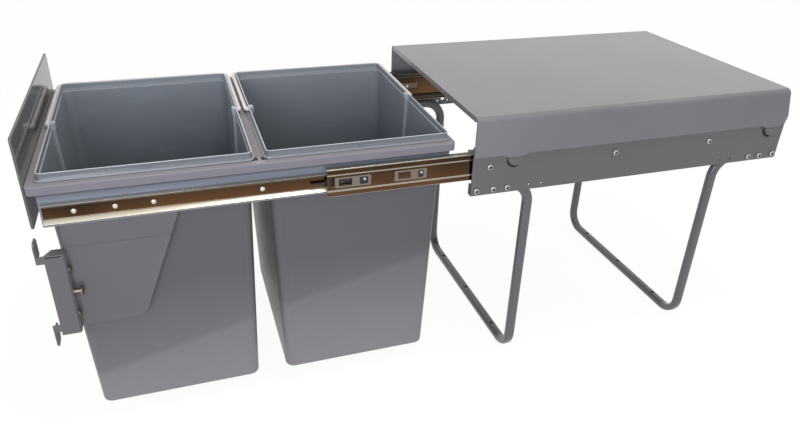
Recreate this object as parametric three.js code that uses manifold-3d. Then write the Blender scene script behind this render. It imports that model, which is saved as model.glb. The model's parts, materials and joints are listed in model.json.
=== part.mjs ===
import * as THREE from 'three';
import { mergeVertices } from 'three/addons/utils/BufferGeometryUtils.js';
import Module from 'manifold-3d';

// A pull-out waste unit for a kitchen base cabinet, drawn fully extended.
// Millimetres. The drawer pulls out along -Y, X runs across the unit and Z is up from the floor.
// Y = 0 is the front edge of the fixed housing. "Right" is +X, "left" is -X.

const wasm = await Module();
wasm.setup();

// ---------------------------------------------------------------- driving sizes

// Gaps
const SEAT = 0.3; // between two pieces that touch
const RUN_GAP = 1; // over the side plates, where the collar passes
const HOLE_GAP = 0.3; // round a screw or pin, on the radius
const PAST = 1; // how far a cutting tool passes the faces that it cuts
const ROOT = 0.8; // how far a joined feature reaches into the wall that carries it

// Housing
const LID_WIDTH = 342;
const HOUSING_DEPTH = 494;
const LEG_HEIGHT = 281; // floor to the lower edge of the side plates
const PLATE_HEIGHT = 64;
const HOUSING_SHEET = 2;
const LID_SHEET = 2.5;
const LID_HEADROOM = 19.5; // from the bin rims to the underside of the lid
const LID_OVERLAP = 10; // how far the lid's flanges reach down over the side plates
const LID_BEND = 6.5;
const LID_LIP = 7;
const LID_TOP_SETBACK = 10; // the lid's top stops this far before the rear of its flanges
const LID_REAR_CHAMFER = 12;
const LID_REAR_SLANT = 3; // how far the flange's slanted corner is set in at its foot
const PLATE_TOP_FOLD = 4.6;
const PLATE_FRONT_FOLD = 9;
const PLATE_FRONT_FOLD_HEIGHT = 15;
const PLATE_STOP_TAB = 7;

// Clip tabs of the lid and the scoops that hold them
const SCOOP_FRONT = 58; // centre of the front scoop from the front edge
const SCOOP_REAR = 25.5; // centre of the rear scoop from the rear edge
const SCOOP_HALF_WIDTH = 11.2;
const SCOOP_DEPTH = 11;
const SCOOP_TOP = 4; // below the lid's flange
const SCOOP_WALL = 1.2;
const TAB_SHOULDER = 17.4; // half width where the tab leaves the flange
const TAB_REACH = 2.6; // how far the tongue goes into its scoop
const TAB_TAPER = 1; // the tongue narrows by this much on each side

// Hoop legs
const TUBE_WIDE = 14;
const TUBE_THIN = 11;
const TUBE_EDGE = 4.5; // rounding of the flat-oval section
const HOOP_BEND = 30;
const FRONT_HOOP_Y = 88;
const REAR_HOOP_SETBACK = 102;
const HOOP_START = 1.5; // from the front fold to the end of the tube
const FLOOR_SCREW_SPACING = 103;
const FLOOR_SCREW_HOLE = 3;

// Telescopic slides
const SLIDE_DROP = 25; // slide centre below the upper edge of the side plate
const SLIDE_STEEL = 1.3;
const CABINET_MEMBER_HEIGHT = 45.5;
const CABINET_MEMBER_FLANGE = 11;
const CABINET_MEMBER_LENGTH = 482;
const CABINET_MEMBER_SETBACK = 5;
const OUTER_RACE = 3.2; // height of the ball track between cabinet and middle member
const MIDDLE_LENGTH = 470;
const MIDDLE_FLANGE = 8.4;
const MIDDLE_TRAVEL = 190;
const MIDDLE_CLOSED_Y = 4;
const INNER_RACE = 5.2; // height of the ball track between middle and drawer member
const DRAWER_MEMBER_LENGTH = 480;
const DRAWER_MEMBER_FLANGE = 7.2;
const DRAWER_MEMBER_CLOSED_Y = -2.5;
const SLIDE_TRAVEL = 492;
const CAGE_STEEL = 0.5;
const OUTER_CAGE_LENGTH = 150;
const OUTER_CAGE_CLOSED_Y = 115;
const INNER_CAGE_LENGTH = 120;
const INNER_CAGE_CLOSED_Y = 191;
const CAGE_EDGE_INSET = 1; // cage's folded edge behind the tip of the member inside it
const BALLS_PER_TRACK = 5;
const MIDDLE_WINDOWS = [[14, 30.5], [40, 50.6], [88.6, 105.3], [114.6, 121.5]]; // from its front
const WINDOW_HEIGHT = 10;
const GROOVE_DEPTH = 0.5; // the middle of the middle member's web lies this far behind its tracks
const GROOVE_FOOT = 9.2; // half height of the groove's floor
const GROOVE_TOP = 11.2; // half height of the groove at its edges
const RIVETS = [30.9, 72.8, 113.1, 233.4]; // from the front of the drawer member
const RIVET_RADIUS = 3.1;
const RIVET_HEIGHT = 1.6;
const LEVER_THICKNESS = 2.4;
const LEVER_TAIL = 38;
const LEVER_NOSE = 19; // how far the lever shows in front of the middle member
const LEVER_HEIGHT = 9;
const LEVER_NOSE_HEIGHT = 1.8;
const LEVER_TAIL_HEIGHT = 5.4;
const LEVER_SLOPE = 5;

// Drawer frame
const RAIL_STEEL = 1.2;
const RAIL_DROP = 17; // rail below the slide centre
const RAIL_END_GAP = 2; // rail to the collar's rear skirt
const RAIL_AHEAD = 2.5; // the rail's front end in front of the slide's
const RAIL_NOTCH = 3; // its upper part starts this much further back
const RAIL_NOTCH_DROP = 4.3; // the notch's foot below the collar
const WING_STEEL = 1;
const PANEL_THICKNESS = 3;
const PANEL_HEIGHT = 106;
const PANEL_DROP = 16.5; // panel below the slide centre
const PANEL_SIDE_GAP = 3.1; // panel edge inside the slides' inner edge line
const PANEL_CLOSED_Y = -13; // inner face of the panel with the drawer shut
const PANEL_CORNER = 4;
const COLLAR_HEIGHT = 10;
const COLLAR_TOP_PLATE = 2.5;
const COLLAR_SKIRT = 2.2;
const COLLAR_SIDE_GAP = 3; // collar to the side plates
const COLLAR_CORNER = 6;
const OPENING_CORNER = 4;
const POCKET_OVER_OPENING = 3; // the crossbar's corner pockets run this far into the openings
const POCKET_EDGE = 1; // pocket's outer side inside the bin's ledge
const CROSS_STEM = 3.8; // width of the cross bar between its corner pockets
const CROSS_RIB = 1.1;
const CROSS_RIB_SPACING = 2.6;
const CROSS_RIB_END = 4; // ribs stop this far before the cross bar's ends
const WING_LENGTH = 124;
const WING_FOOT = 68;
const WING_DROP = 152.5; // wing foot below the slide centre
const WING_SLANT_TOP = 20; // where the slanted edge starts, below the slide centre
const WING_CORNER = 9;
const WING_CORNER_LEAN = 7.2; // the foot's rounded corner already follows the slanted edge
const WING_SETBACK = 23; // wing plate behind the panel's inner face
const WING_FLANGE = 13;
const BRACKET_HEIGHT = 107;
const BRACKET_BELOW_WING = 1;
const BRACKET_DEPTH = 20;
const BRACKET_SHEET = 2;
const BRACKET_END_SLANT = 6.7; // the end plates' inner corner is this much shorter
const EAR_HEIGHT = 23;
const EAR_WIDTH = 20;
const EAR_REACH = 8.2; // ears stand this far in front of the bracket
const EAR_TAB = 9.5;
const EAR_CHAMFER = 4;
const UPPER_EAR_ABOVE = 16; // tip of the upper ear above the bracket
const LOWER_EAR_BELOW = 17; // tip of the lower ear below the bracket
const CLAMP_SCREW_OFFSET = 30; // from the middle of the bracket
const RAIL_FOLD = 12; // how far the rail's front fold reaches inward

// Bins and their handles
const BIN_WALL = 1.6;
const BIN_TOP_LENGTH = 222;
const BIN_END_DRAFT = 10; // each end wall leans in by this much at the floor
const BIN_SIDE_DRAFT = 11;
const BIN_OVER_TUBE = 13; // the bins pass this far above the hoops' floor bars
const BIN_CORNER = 12;
const BIN_FOOT_RADIUS = 4;
const BIN_INNER_FOOT = 2; // the inside's foot is drawn in by this much
const LEDGE_FALL = 0.4; // the inside ledge falls towards the bin
const RIM_HEIGHT = 9.7;
const RIM_SIDE_STEP = 9.5; // from the body to the rim, on the long sides
const RIM_END_STEP = 1.5;
const RIM_CORNER = 9;
const LEDGE = 2.2; // thickness of the rim's ledge
const LEDGE_OVERHANG = 2;
const LEDGE_END_OVERHANG = 2.5;
const BIN_GAP = 10; // between the ledges of the two bins
const BIN_OPENING_GAP = 3; // bin body to the collar's opening, on the long sides
const BIN_OPENING_END_GAP = 2;
const COLLAR_FRONT_BAR = 8.2; // collar between the panel and the front bin's ledge
const COLLAR_REAR_BAR = 3.5; // collar behind the rear bin's ledge
const WIRE_RADIUS = 2.8;
const HANDLE_PIN_BEND = 3.2;
const HANDLE_BEND = 12;
const HANDLE_SIDE_GAP = 1; // crossbar to the ledge's edge
const HANDLE_INSET = 4.9; // crossbar's centre inside the collar's outer edge
const PIN_INSIDE = 4;
const BOSS_HALF_WIDTH = 5;
const BOSS_DEPTH = 5;
const BOSS_BELOW_RIM = 0.2;
const MARK_RADIUS = 3.4; // round moulded mark in the middle of each long side of the rim
const MARK_HEIGHT = 0.5;
const MARK_ABOVE_LEDGE = 4; // its centre above the ledge's top
const RIB_HALF_WIDTH = 3.5;
const RIB_DEPTH = 2;
const RIB_FOOT = 60;

// Screws
const HEAD_RADIUS = 4.1;
const HEAD_HEIGHT = 2.4;
const HEAD_CURVE = [[0, 1], [0.5, 0.92], [1, 0.45]]; // shares of a head's height and radius
const SHANK_RADIUS = 1.9;
const SLIDE_SCREWS = [23.6, 209.3, 363.4]; // from the housing's front edge
const HOOP_SCREWS = [7.6, 31.3, 51.2]; // from the nearer end of the housing
const PLATE_HOLES = [83.5, 101.8];
const PLATE_HOLE_RADIUS = 1.6;
const CLAMP_SCREW_LENGTH = 6; // from the seat of the head
const ADJUSTER_LENGTH = 24;
const ADJUSTER_RADIUS = 3;
const ADJUSTER_HEAD_RADIUS = 6;
const ADJUSTER_STANDOFF = 7.5; // bare thread between the wing's flange and the screw's head

// ---------------------------------------------------------------- sizes that follow

const lidOuterX = LID_WIDTH / 2;
const plateOuterX = lidOuterX - LID_SHEET - SEAT;
const plateInnerX = plateOuterX - HOUSING_SHEET;
const plateTopZ = LEG_HEIGHT + PLATE_HEIGHT;
const slideZ = plateTopZ - SLIDE_DROP;

const cabinetOuterX = plateInnerX - SEAT;
const cabinetWebX = cabinetOuterX - SLIDE_STEEL;
const outerCageX = cabinetWebX - SEAT;
const middleOuterX = outerCageX - CAGE_STEEL - SEAT;
const middleWebX = middleOuterX - SLIDE_STEEL;
const middleHalfHeight = CABINET_MEMBER_HEIGHT / 2 - SLIDE_STEEL - OUTER_RACE;
const innerCageX = middleWebX - SEAT;
const drawerMemberTipX = innerCageX - CAGE_STEEL - SEAT;
const drawerMemberX = drawerMemberTipX - DRAWER_MEMBER_FLANGE;
const drawerMemberHalfHeight = middleHalfHeight - SLIDE_STEEL - INNER_RACE;
const railOuterX = drawerMemberX - SEAT;
const railInnerX = railOuterX - RAIL_STEEL;
const wingOuterX = railInnerX - SEAT;
const wingInnerX = wingOuterX - WING_STEEL;

const collarBottomZ = plateTopZ + RUN_GAP;
const collarTopZ = collarBottomZ + COLLAR_HEIGHT;
const collarOuterX = plateInnerX - COLLAR_SIDE_GAP;
const ledgeZ = collarTopZ + SEAT;
const rimTopZ = ledgeZ + RIM_HEIGHT;
const lidTopZ = rimTopZ + LID_HEADROOM + LID_SHEET;
const lidFlangeZ = plateTopZ - LID_OVERLAP;
const pinZ = ledgeZ + LEDGE + 2 * SEAT + WIRE_RADIUS; // the folded handle lies just over the bin's ledge

// The handle's crossbar lies on the collar, beside the bin's ledge.
const handleSideX = collarOuterX - HANDLE_INSET;
const ledgeHalfX = handleSideX - WIRE_RADIUS - HANDLE_SIDE_GAP;
const rimHalfX = ledgeHalfX - LEDGE_OVERHANG;
const binTopHalfX = rimHalfX - RIM_SIDE_STEP;
const binFootHalfX = binTopHalfX - BIN_SIDE_DRAFT;
const binTopHalfY = BIN_TOP_LENGTH / 2;
const binFootHalfY = binTopHalfY - BIN_END_DRAFT;
const rimHalfY = binTopHalfY + RIM_END_STEP;
const ledgeHalfY = rimHalfY + LEDGE_END_OVERHANG;
const armY = rimHalfY + SEAT + WIRE_RADIUS; // the handle's arms, from the bin's middle
const binFootZ = TUBE_THIN + BIN_OVER_TUBE;

// Along the drawer, drawn pulled out by the whole travel.
const panelInnerY = PANEL_CLOSED_Y - SLIDE_TRAVEL;
const panelOuterY = panelInnerY - PANEL_THICKNESS;
const collarFrontY = panelInnerY + SEAT;
const frontBinY = collarFrontY + COLLAR_FRONT_BAR + ledgeHalfY;
const rearBinY = frontBinY + 2 * ledgeHalfY + BIN_GAP;
const collarRearY = rearBinY + ledgeHalfY + COLLAR_REAR_BAR;
const crossBarY = (frontBinY + rearBinY) / 2;

const cabinetMemberY = CABINET_MEMBER_SETBACK;
const middleY = MIDDLE_CLOSED_Y - MIDDLE_TRAVEL;
const drawerMemberY = DRAWER_MEMBER_CLOSED_Y - SLIDE_TRAVEL;
const outerCageY = OUTER_CAGE_CLOSED_Y - MIDDLE_TRAVEL / 2;
const innerCageY = INNER_CAGE_CLOSED_Y - (MIDDLE_TRAVEL + SLIDE_TRAVEL) / 2;

const hoopTopZ = LEG_HEIGHT + TUBE_WIDE / 2 - SEAT;
const hoopX = plateInnerX - SEAT - TUBE_THIN / 2;
const rearHoopY = HOUSING_DEPTH - REAR_HOOP_SETBACK;

// ---------------------------------------------------------------- finishes

const finish = (color, roughness, metalness) => ({ color, roughness, metalness });
const GREY_PAINT = finish(0x7f7d80, 0.45, 0.3);
const LID_PAINT = finish(0x9c9998, 0.4, 0.3);
const TUBE_PAINT = finish(0x6e6c70, 0.4, 0.3);
const ZINC = finish(0xb9b2a6, 0.22, 1);
const BRIGHT_STEEL = finish(0xd8d6d2, 0.18, 1);
const BLACK_PLASTIC = finish(0x1c1c1e, 0.5, 0);
const COLLAR_PLASTIC = finish(0x8f8b96, 0.45, 0);
const BIN_PLASTIC = finish(0x757880, 0.4, 0);
const HANDLE_PLASTIC = finish(0xe6e3de, 0.4, 0);
const PANEL_GLOSS = finish(0x7d797b, 0.12, 0);

// ---------------------------------------------------------------- solids

// A closed geometry as a solid that can be joined and cut.
function toSolid(geometry) {
  const bare = geometry.clone();
  bare.deleteAttribute('normal');
  bare.deleteAttribute('uv');
  const merged = mergeVertices(bare, 1e-4);
  return new wasm.Manifold(new wasm.Mesh({
    numProp: 3,
    vertProperties: new Float32Array(merged.attributes.position.array),
    triVerts: new Uint32Array(merged.index.array),
  }));
}

function toGeometry(solid) {
  const mesh = solid.getMesh();
  const geometry = new THREE.BufferGeometry();
  geometry.setAttribute('position', new THREE.BufferAttribute(mesh.vertProperties, 3));
  geometry.setIndex(new THREE.BufferAttribute(mesh.triVerts, 1));
  geometry.computeVertexNormals();
  return geometry;
}

const join = (first, ...others) => others.reduce((sum, other) => sum.add(toSolid(other)), toSolid(first));
const cut = (solid, ...tools) => tools.reduce((rest, tool) => rest.subtract(toSolid(tool)), solid);

// The same piece on the other side of the unit.
function mirrored(geometry) {
  const copy = geometry.index ? geometry.clone() : mergeVertices(geometry.clone());
  copy.scale(-1, 1, 1);
  const index = copy.index.array;
  for (let i = 0; i < index.length; i += 3) {
    [index[i + 1], index[i + 2]] = [index[i + 2], index[i + 1]];
  }
  copy.computeVertexNormals();
  return copy;
}

function block([x0, y0, z0], [x1, y1, z1]) {
  const geometry = new THREE.BoxGeometry(x1 - x0, y1 - y0, z1 - z0);
  return geometry.translate((x0 + x1) / 2, (y0 + y1) / 2, (z0 + z1) / 2);
}

const X = new THREE.Vector3(1, 0, 0);
const Y = new THREE.Vector3(0, 1, 0);
const Z = new THREE.Vector3(0, 0, 1);

function outline(points) {
  return new THREE.Shape(points.map(([a, b]) => new THREE.Vector2(a, b)));
}

function extrude(shape, depth, curveSegments) {
  return new THREE.ExtrudeGeometry(shape, { depth, curveSegments, bevelEnabled: false });
}

// An outline in (y, z), extruded from x0 to x1.
function alongX(shape, x0, x1, curveSegments = 6) {
  const turn = new THREE.Matrix4().makeBasis(Y, Z, X);
  return extrude(shape, x1 - x0, curveSegments).applyMatrix4(turn).translate(x0, 0, 0);
}

// An outline in (x, z), extruded from y0 to y1.
function alongY(shape, y0, y1, curveSegments = 6) {
  const turn = new THREE.Matrix4().makeBasis(X, Z, Y.clone().negate());
  return extrude(shape, y1 - y0, curveSegments).applyMatrix4(turn).translate(0, y1, 0);
}

// An outline in (x, y), extruded from z0 to z1.
function alongZ(shape, z0, z1, curveSegments = 6) {
  return extrude(shape, z1 - z0, curveSegments).translate(0, 0, z0);
}

function roundedRectangle([x0, y0], [x1, y1], radius) {
  const shape = new THREE.Shape();
  shape.moveTo(x0 + radius, y0);
  shape.lineTo(x1 - radius, y0);
  shape.absarc(x1 - radius, y0 + radius, radius, -Math.PI / 2, 0);
  shape.lineTo(x1, y1 - radius);
  shape.absarc(x1 - radius, y1 - radius, radius, 0, Math.PI / 2);
  shape.lineTo(x0 + radius, y1);
  shape.absarc(x0 + radius, y1 - radius, radius, Math.PI / 2, Math.PI);
  shape.lineTo(x0, y0 + radius);
  shape.absarc(x0 + radius, y0 + radius, radius, Math.PI, Math.PI * 1.5);
  return shape;
}

function rodAlongX(radius, x0, x1, y, z, sides = 10) {
  const geometry = new THREE.CylinderGeometry(radius, radius, x1 - x0, sides);
  return geometry.rotateZ(-Math.PI / 2).translate((x0 + x1) / 2, y, z);
}

function rodAlongY(radius, x, y0, y1, z, sides = 10) {
  const geometry = new THREE.CylinderGeometry(radius, radius, y1 - y0, sides);
  return geometry.translate(x, (y0 + y1) / 2, z);
}

function rodAlongZ(radius, x, y, z0, z1, sides = 10) {
  const geometry = new THREE.CylinderGeometry(radius, radius, z1 - z0, sides);
  return geometry.rotateX(Math.PI / 2).translate(x, y, (z0 + z1) / 2);
}

// The domed outline of a head that stands on seat: pairs of [place along its axis, radius].
function headCurve(seat, height, radius) {
  const curve = HEAD_CURVE.map(([rise, share]) => [seat + rise * height, share * radius]);
  return [...curve, [seat + height, 0]];
}

// A turned piece about X, from [x, radius] pairs that start and end on the axis.
function turnedAlongX(profile, y, z, sides) {
  const points = profile.map(([x, radius]) => new THREE.Vector2(radius, x));
  const geometry = new THREE.LatheGeometry(points, sides);
  return geometry.rotateZ(-Math.PI / 2).translate(0, y, z);
}

// The centre line of a bent wire or tube: straight runs, with an arc at each inner corner.
class BentPath extends THREE.Curve {
  constructor(corners, radii, stepsPerBend) {
    super();
    const points = corners.map((corner) => new THREE.Vector3(...corner));
    const last = points.length - 1;
    const along = (i) => points[i + 1].clone().sub(points[i]).normalize();
    this.stations = [{ point: points[0], tangent: along(0) }];
    for (let i = 1; i < last; i += 1) {
      const before = along(i - 1);
      const after = along(i);
      const angle = before.angleTo(after);
      const start = points[i].clone().addScaledVector(before, -radii[i - 1] * Math.tan(angle / 2));
      const inward = after.clone().addScaledVector(before, -before.dot(after)).normalize();
      for (let step = 0; step <= stepsPerBend; step += 1) {
        const turned = (angle * step) / stepsPerBend;
        const point = start.clone()
          .addScaledVector(before, radii[i - 1] * Math.sin(turned))
          .addScaledVector(inward, radii[i - 1] * (1 - Math.cos(turned)));
        const tangent = before.clone().multiplyScalar(Math.cos(turned))
          .addScaledVector(inward, Math.sin(turned));
        this.stations.push({ point, tangent });
      }
    }
    this.stations.push({ point: points[last], tangent: along(last - 1) });
  }

  get steps() {
    return this.stations.length - 1;
  }

  station(u) {
    return this.stations[Math.round(u * this.steps)];
  }

  getPoint(u) {
    return this.station(u).point.clone();
  }

  getPointAt(u) {
    return this.station(u).point.clone();
  }

  getTangentAt(u) {
    return this.station(u).tangent.clone();
  }
}

function sweep(section, path, curveSegments) {
  return new THREE.ExtrudeGeometry(section, { steps: path.steps, extrudePath: path, curveSegments });
}

function disc(radius) {
  const shape = new THREE.Shape();
  shape.absarc(0, 0, radius, 0, Math.PI * 2);
  return shape;
}

// A level ring of points round a rounded rectangle, counter-clockwise from above.
function ring(halfX, halfY, radius, z, steps = 3) {
  const centres = [[1, 1], [-1, 1], [-1, -1], [1, -1]];
  const points = [];
  centres.forEach(([sx, sy], quarter) => {
    for (let step = 0; step <= steps; step += 1) {
      const angle = ((quarter + step / steps) * Math.PI) / 2;
      const x = sx * (halfX - radius) + radius * Math.cos(angle);
      const y = sy * (halfY - radius) + radius * Math.sin(angle);
      points.push(new THREE.Vector3(x, y, z));
    }
  });
  return points;
}

// A closed skin over a run of rings, capped flat at both ends.
function skin(rings) {
  const count = rings[0].length;
  const positions = rings.flat().flatMap((point) => [point.x, point.y, point.z]);
  const index = [];
  for (let r = 0; r + 1 < rings.length; r += 1) {
    for (let i = 0; i < count; i += 1) {
      const a = r * count + i;
      const b = r * count + ((i + 1) % count);
      index.push(a, b, b + count, a, b + count, a + count);
    }
  }
  const lastRing = (rings.length - 1) * count;
  for (let i = 1; i + 1 < count; i += 1) {
    index.push(0, i + 1, i);
    index.push(lastRing, lastRing + i, lastRing + i + 1);
  }
  const geometry = new THREE.BufferGeometry();
  geometry.setAttribute('position', new THREE.Float32BufferAttribute(positions, 3));
  geometry.setIndex(index);
  geometry.computeVertexNormals();
  return geometry;
}

// ---------------------------------------------------------------- housing

// The tab on the lid's flange: wide shoulders, then a tongue that drops into the scoop.
function lidTab(y) {
  const scoopTopZ = lidFlangeZ - SCOOP_TOP;
  const tongue = SCOOP_HALF_WIDTH - SCOOP_WALL - HOLE_GAP;
  const half = [
    [TAB_SHOULDER, lidFlangeZ + ROOT],
    [TAB_SHOULDER, lidFlangeZ],
    [SCOOP_HALF_WIDTH, scoopTopZ + SEAT],
    [tongue, scoopTopZ + SEAT],
    [tongue - TAB_TAPER, scoopTopZ - TAB_REACH],
  ];
  const points = [
    ...half.map(([d, z]) => [y - d, z]),
    ...half.reverse().map(([d, z]) => [y + d, z]),
  ];
  return alongX(outline(points), lidOuterX - LID_SHEET, lidOuterX);
}

function coverLid() {
  const outer = new THREE.Shape();
  const inner = lidOuterX - LID_SHEET;
  const bendZ = lidTopZ - LID_BEND;
  const innerBend = LID_BEND - LID_SHEET;
  outer.moveTo(lidOuterX, lidFlangeZ);
  outer.lineTo(lidOuterX, bendZ);
  outer.absarc(lidOuterX - LID_BEND, bendZ, LID_BEND, 0, Math.PI / 2);
  outer.lineTo(-lidOuterX + LID_BEND, lidTopZ);
  outer.absarc(-lidOuterX + LID_BEND, bendZ, LID_BEND, Math.PI / 2, Math.PI);
  outer.lineTo(-lidOuterX, lidFlangeZ);
  outer.lineTo(-inner, lidFlangeZ);
  outer.lineTo(-inner, bendZ);
  outer.absarc(-lidOuterX + LID_BEND, bendZ, innerBend, Math.PI, Math.PI / 2, true);
  outer.lineTo(lidOuterX - LID_BEND, lidTopZ - LID_SHEET);
  outer.absarc(lidOuterX - LID_BEND, bendZ, innerBend, Math.PI / 2, 0, true);
  outer.lineTo(inner, lidFlangeZ);
  const folded = toSolid(alongY(outer, 0, HOUSING_DEPTH + PAST));

  const topRearY = HOUSING_DEPTH - LID_TOP_SETBACK;
  const side = alongX(outline([
    [0, lidFlangeZ],
    [HOUSING_DEPTH - LID_REAR_SLANT, lidFlangeZ],
    [HOUSING_DEPTH, lidFlangeZ + LID_REAR_CHAMFER],
    [topRearY, lidTopZ],
    [0, lidTopZ],
  ]), -lidOuterX, lidOuterX);
  const trimmed = folded.intersect(toSolid(side));

  const lipHalf = lidOuterX - LID_BEND;
  const lip = (y) => block(
    [-lipHalf, y, lidTopZ - LID_LIP], [lipHalf, y + LID_SHEET, lidTopZ - LID_SHEET + ROOT],
  );
  const tabs = [SCOOP_FRONT, HOUSING_DEPTH - SCOOP_REAR].map(lidTab);
  const additions = [lip(0), lip(topRearY - LID_SHEET), ...tabs, ...tabs.map(mirrored)];
  return toGeometry(additions.reduce((sum, piece) => sum.add(toSolid(piece)), trimmed));
}

// A half-moon pocket pressed outward from the side plate, open at the top.
function scoopShape(y, shrink) {
  const top = lidFlangeZ - SCOOP_TOP;
  const shape = new THREE.Shape();
  shape.absellipse(y, top, SCOOP_HALF_WIDTH - shrink, SCOOP_DEPTH - shrink, Math.PI, Math.PI * 2);
  return shape;
}

function sidePlate() {
  const scoopOuterX = lidOuterX + SEAT + SCOOP_WALL;
  const plate = block([plateInnerX, 0, LEG_HEIGHT], [plateOuterX, HOUSING_DEPTH, plateTopZ]);
  const topFold = block(
    [plateInnerX - PLATE_TOP_FOLD + HOUSING_SHEET, 0, plateTopZ - HOUSING_SHEET],
    [plateOuterX, HOUSING_DEPTH, plateTopZ],
  );
  const stopTab = block(
    [plateInnerX - PLATE_TOP_FOLD + HOUSING_SHEET, -PLATE_STOP_TAB, plateTopZ - HOUSING_SHEET],
    [plateInnerX, ROOT, plateTopZ],
  );
  const frontFold = block(
    [plateOuterX - PLATE_FRONT_FOLD, 0, LEG_HEIGHT],
    [plateOuterX, HOUSING_SHEET, LEG_HEIGHT + PLATE_FRONT_FOLD_HEIGHT],
  );
  const scoops = [SCOOP_FRONT, HOUSING_DEPTH - SCOOP_REAR];
  const outerScoops = scoops.map((y) => alongX(scoopShape(y, 0), plateInnerX, scoopOuterX, 8));
  const innerScoops = scoops.map((y) => alongX(
    scoopShape(y, SCOOP_WALL), plateInnerX - PAST, scoopOuterX - SCOOP_WALL, 8,
  ));
  const slideHoles = SLIDE_SCREWS.map((y) => [y, slideZ]);
  const hoopHoles = HOOP_SCREWS.flatMap((y) => [[y, hoopTopZ], [HOUSING_DEPTH - y, hoopTopZ]]);
  const screwHoles = [...slideHoles, ...hoopHoles].map(([y, z]) => rodAlongX(
    SHANK_RADIUS + HOLE_GAP, plateInnerX - PAST, plateOuterX + PAST, y, z, 8,
  ));
  const spareHoles = PLATE_HOLES.flatMap((y) => [y, HOUSING_DEPTH - y]).map((y) => rodAlongX(
    PLATE_HOLE_RADIUS, plateInnerX - PAST, plateOuterX + PAST, y, hoopTopZ, 6,
  ));
  const solid = join(plate, topFold, stopTab, frontFold, ...outerScoops);
  return toGeometry(cut(solid, ...innerScoops, ...screwHoles, ...spareHoles));
}

// One bent flat-oval bar: along one side plate, down, across the floor, up and back along the other.
function hoopLeg(startY, legY, screwsY) {
  const floorZ = TUBE_THIN / 2;
  const path = new BentPath([
    [hoopX, startY, hoopTopZ],
    [hoopX, legY, hoopTopZ],
    [hoopX, legY, floorZ],
    [-hoopX, legY, floorZ],
    [-hoopX, legY, hoopTopZ],
    [-hoopX, startY, hoopTopZ],
  ], [HOOP_BEND, HOOP_BEND, HOOP_BEND, HOOP_BEND], 5);
  const section = roundedRectangle(
    [-TUBE_WIDE / 2, -TUBE_THIN / 2], [TUBE_WIDE / 2, TUBE_THIN / 2], TUBE_EDGE,
  );
  const bar = toSolid(sweep(section, path, 2));
  const sideHole = (y) => rodAlongX(SHANK_RADIUS + HOLE_GAP, hoopX, hoopX + TUBE_THIN, y, hoopTopZ, 8);
  const sideHoles = screwsY.map(sideHole).flatMap((hole) => [hole, mirrored(hole)]);
  const floorHoles = [-1, 0, 1].map((place) => rodAlongZ(
    FLOOR_SCREW_HOLE, place * FLOOR_SCREW_SPACING, legY, -PAST, TUBE_THIN + PAST, 8,
  ));
  return toGeometry(cut(bar, ...sideHoles, ...floorHoles));
}

// A pan-head screw driven in from outside, on the right-hand plate.
function panScrew(y, z, endX) {
  const seatX = plateOuterX + SEAT;
  return turnedAlongX([
    [endX, 0],
    [endX, SHANK_RADIUS],
    [seatX, SHANK_RADIUS],
    ...headCurve(seatX, HEAD_HEIGHT, HEAD_RADIUS),
  ], y, z, 8);
}

// ---------------------------------------------------------------- slides

// A C section with its web at webX and flanges that reach to tipX.
function channel(webX, tipX, halfHeight, steel, y0, y1) {
  const inward = Math.sign(tipX - webX);
  const inner = webX + inward * steel;
  const top = slideZ + halfHeight;
  const bottom = slideZ - halfHeight;
  return alongY(outline([
    [webX, bottom],
    [tipX, bottom],
    [tipX, bottom + steel],
    [inner, bottom + steel],
    [inner, top - steel],
    [tipX, top - steel],
    [tipX, top],
    [webX, top],
  ]), y0, y1);
}

function cabinetMember() {
  const tipX = cabinetOuterX - SLIDE_STEEL - CABINET_MEMBER_FLANGE;
  const y1 = cabinetMemberY + CABINET_MEMBER_LENGTH;
  const body = channel(cabinetOuterX, tipX, CABINET_MEMBER_HEIGHT / 2, SLIDE_STEEL, cabinetMemberY, y1);
  const holes = SLIDE_SCREWS.map((y) => rodAlongX(
    SHANK_RADIUS + HOLE_GAP, cabinetWebX - PAST, cabinetOuterX + PAST, y, slideZ, 8,
  ));
  return toGeometry(cut(toSolid(body), ...holes));
}

function middleMember() {
  const tipX = middleOuterX - MIDDLE_FLANGE;
  const y1 = middleY + MIDDLE_LENGTH;
  const body = channel(middleOuterX, tipX, middleHalfHeight, SLIDE_STEEL, middleY, y1);
  const groove = alongY(outline([
    [middleOuterX - GROOVE_DEPTH, slideZ - GROOVE_FOOT],
    [middleOuterX - GROOVE_DEPTH, slideZ + GROOVE_FOOT],
    [middleOuterX, slideZ + GROOVE_TOP],
    [middleOuterX + PAST, slideZ + GROOVE_TOP],
    [middleOuterX + PAST, slideZ - GROOVE_TOP],
    [middleOuterX, slideZ - GROOVE_TOP],
  ].reverse()), middleY - PAST, y1 + PAST);
  const windows = MIDDLE_WINDOWS.map(([from, to]) => block(
    [middleWebX - PAST, middleY + from, slideZ - WINDOW_HEIGHT / 2],
    [middleOuterX + PAST, middleY + to, slideZ + WINDOW_HEIGHT / 2],
  ));
  return toGeometry(cut(toSolid(body), groove, ...windows));
}

function drawerMember() {
  const y1 = drawerMemberY + DRAWER_MEMBER_LENGTH;
  const outer = drawerMemberX + SLIDE_STEEL;
  const body = channel(
    drawerMemberX, drawerMemberTipX, drawerMemberHalfHeight, SLIDE_STEEL, drawerMemberY, y1,
  );
  const rivets = RIVETS.map((from) => turnedAlongX([
    [outer - ROOT, 0],
    [outer - ROOT, RIVET_RADIUS],
    ...headCurve(outer, RIVET_HEIGHT, RIVET_RADIUS),
  ], drawerMemberY + from, slideZ, 8));
  const pin = rodAlongX(
    SHANK_RADIUS, outer - ROOT, drawerMemberTipX - SEAT, middleY + LEVER_TAIL / 2, slideZ, 8,
  );
  return toGeometry(join(body, ...rivets, pin));
}

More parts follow.
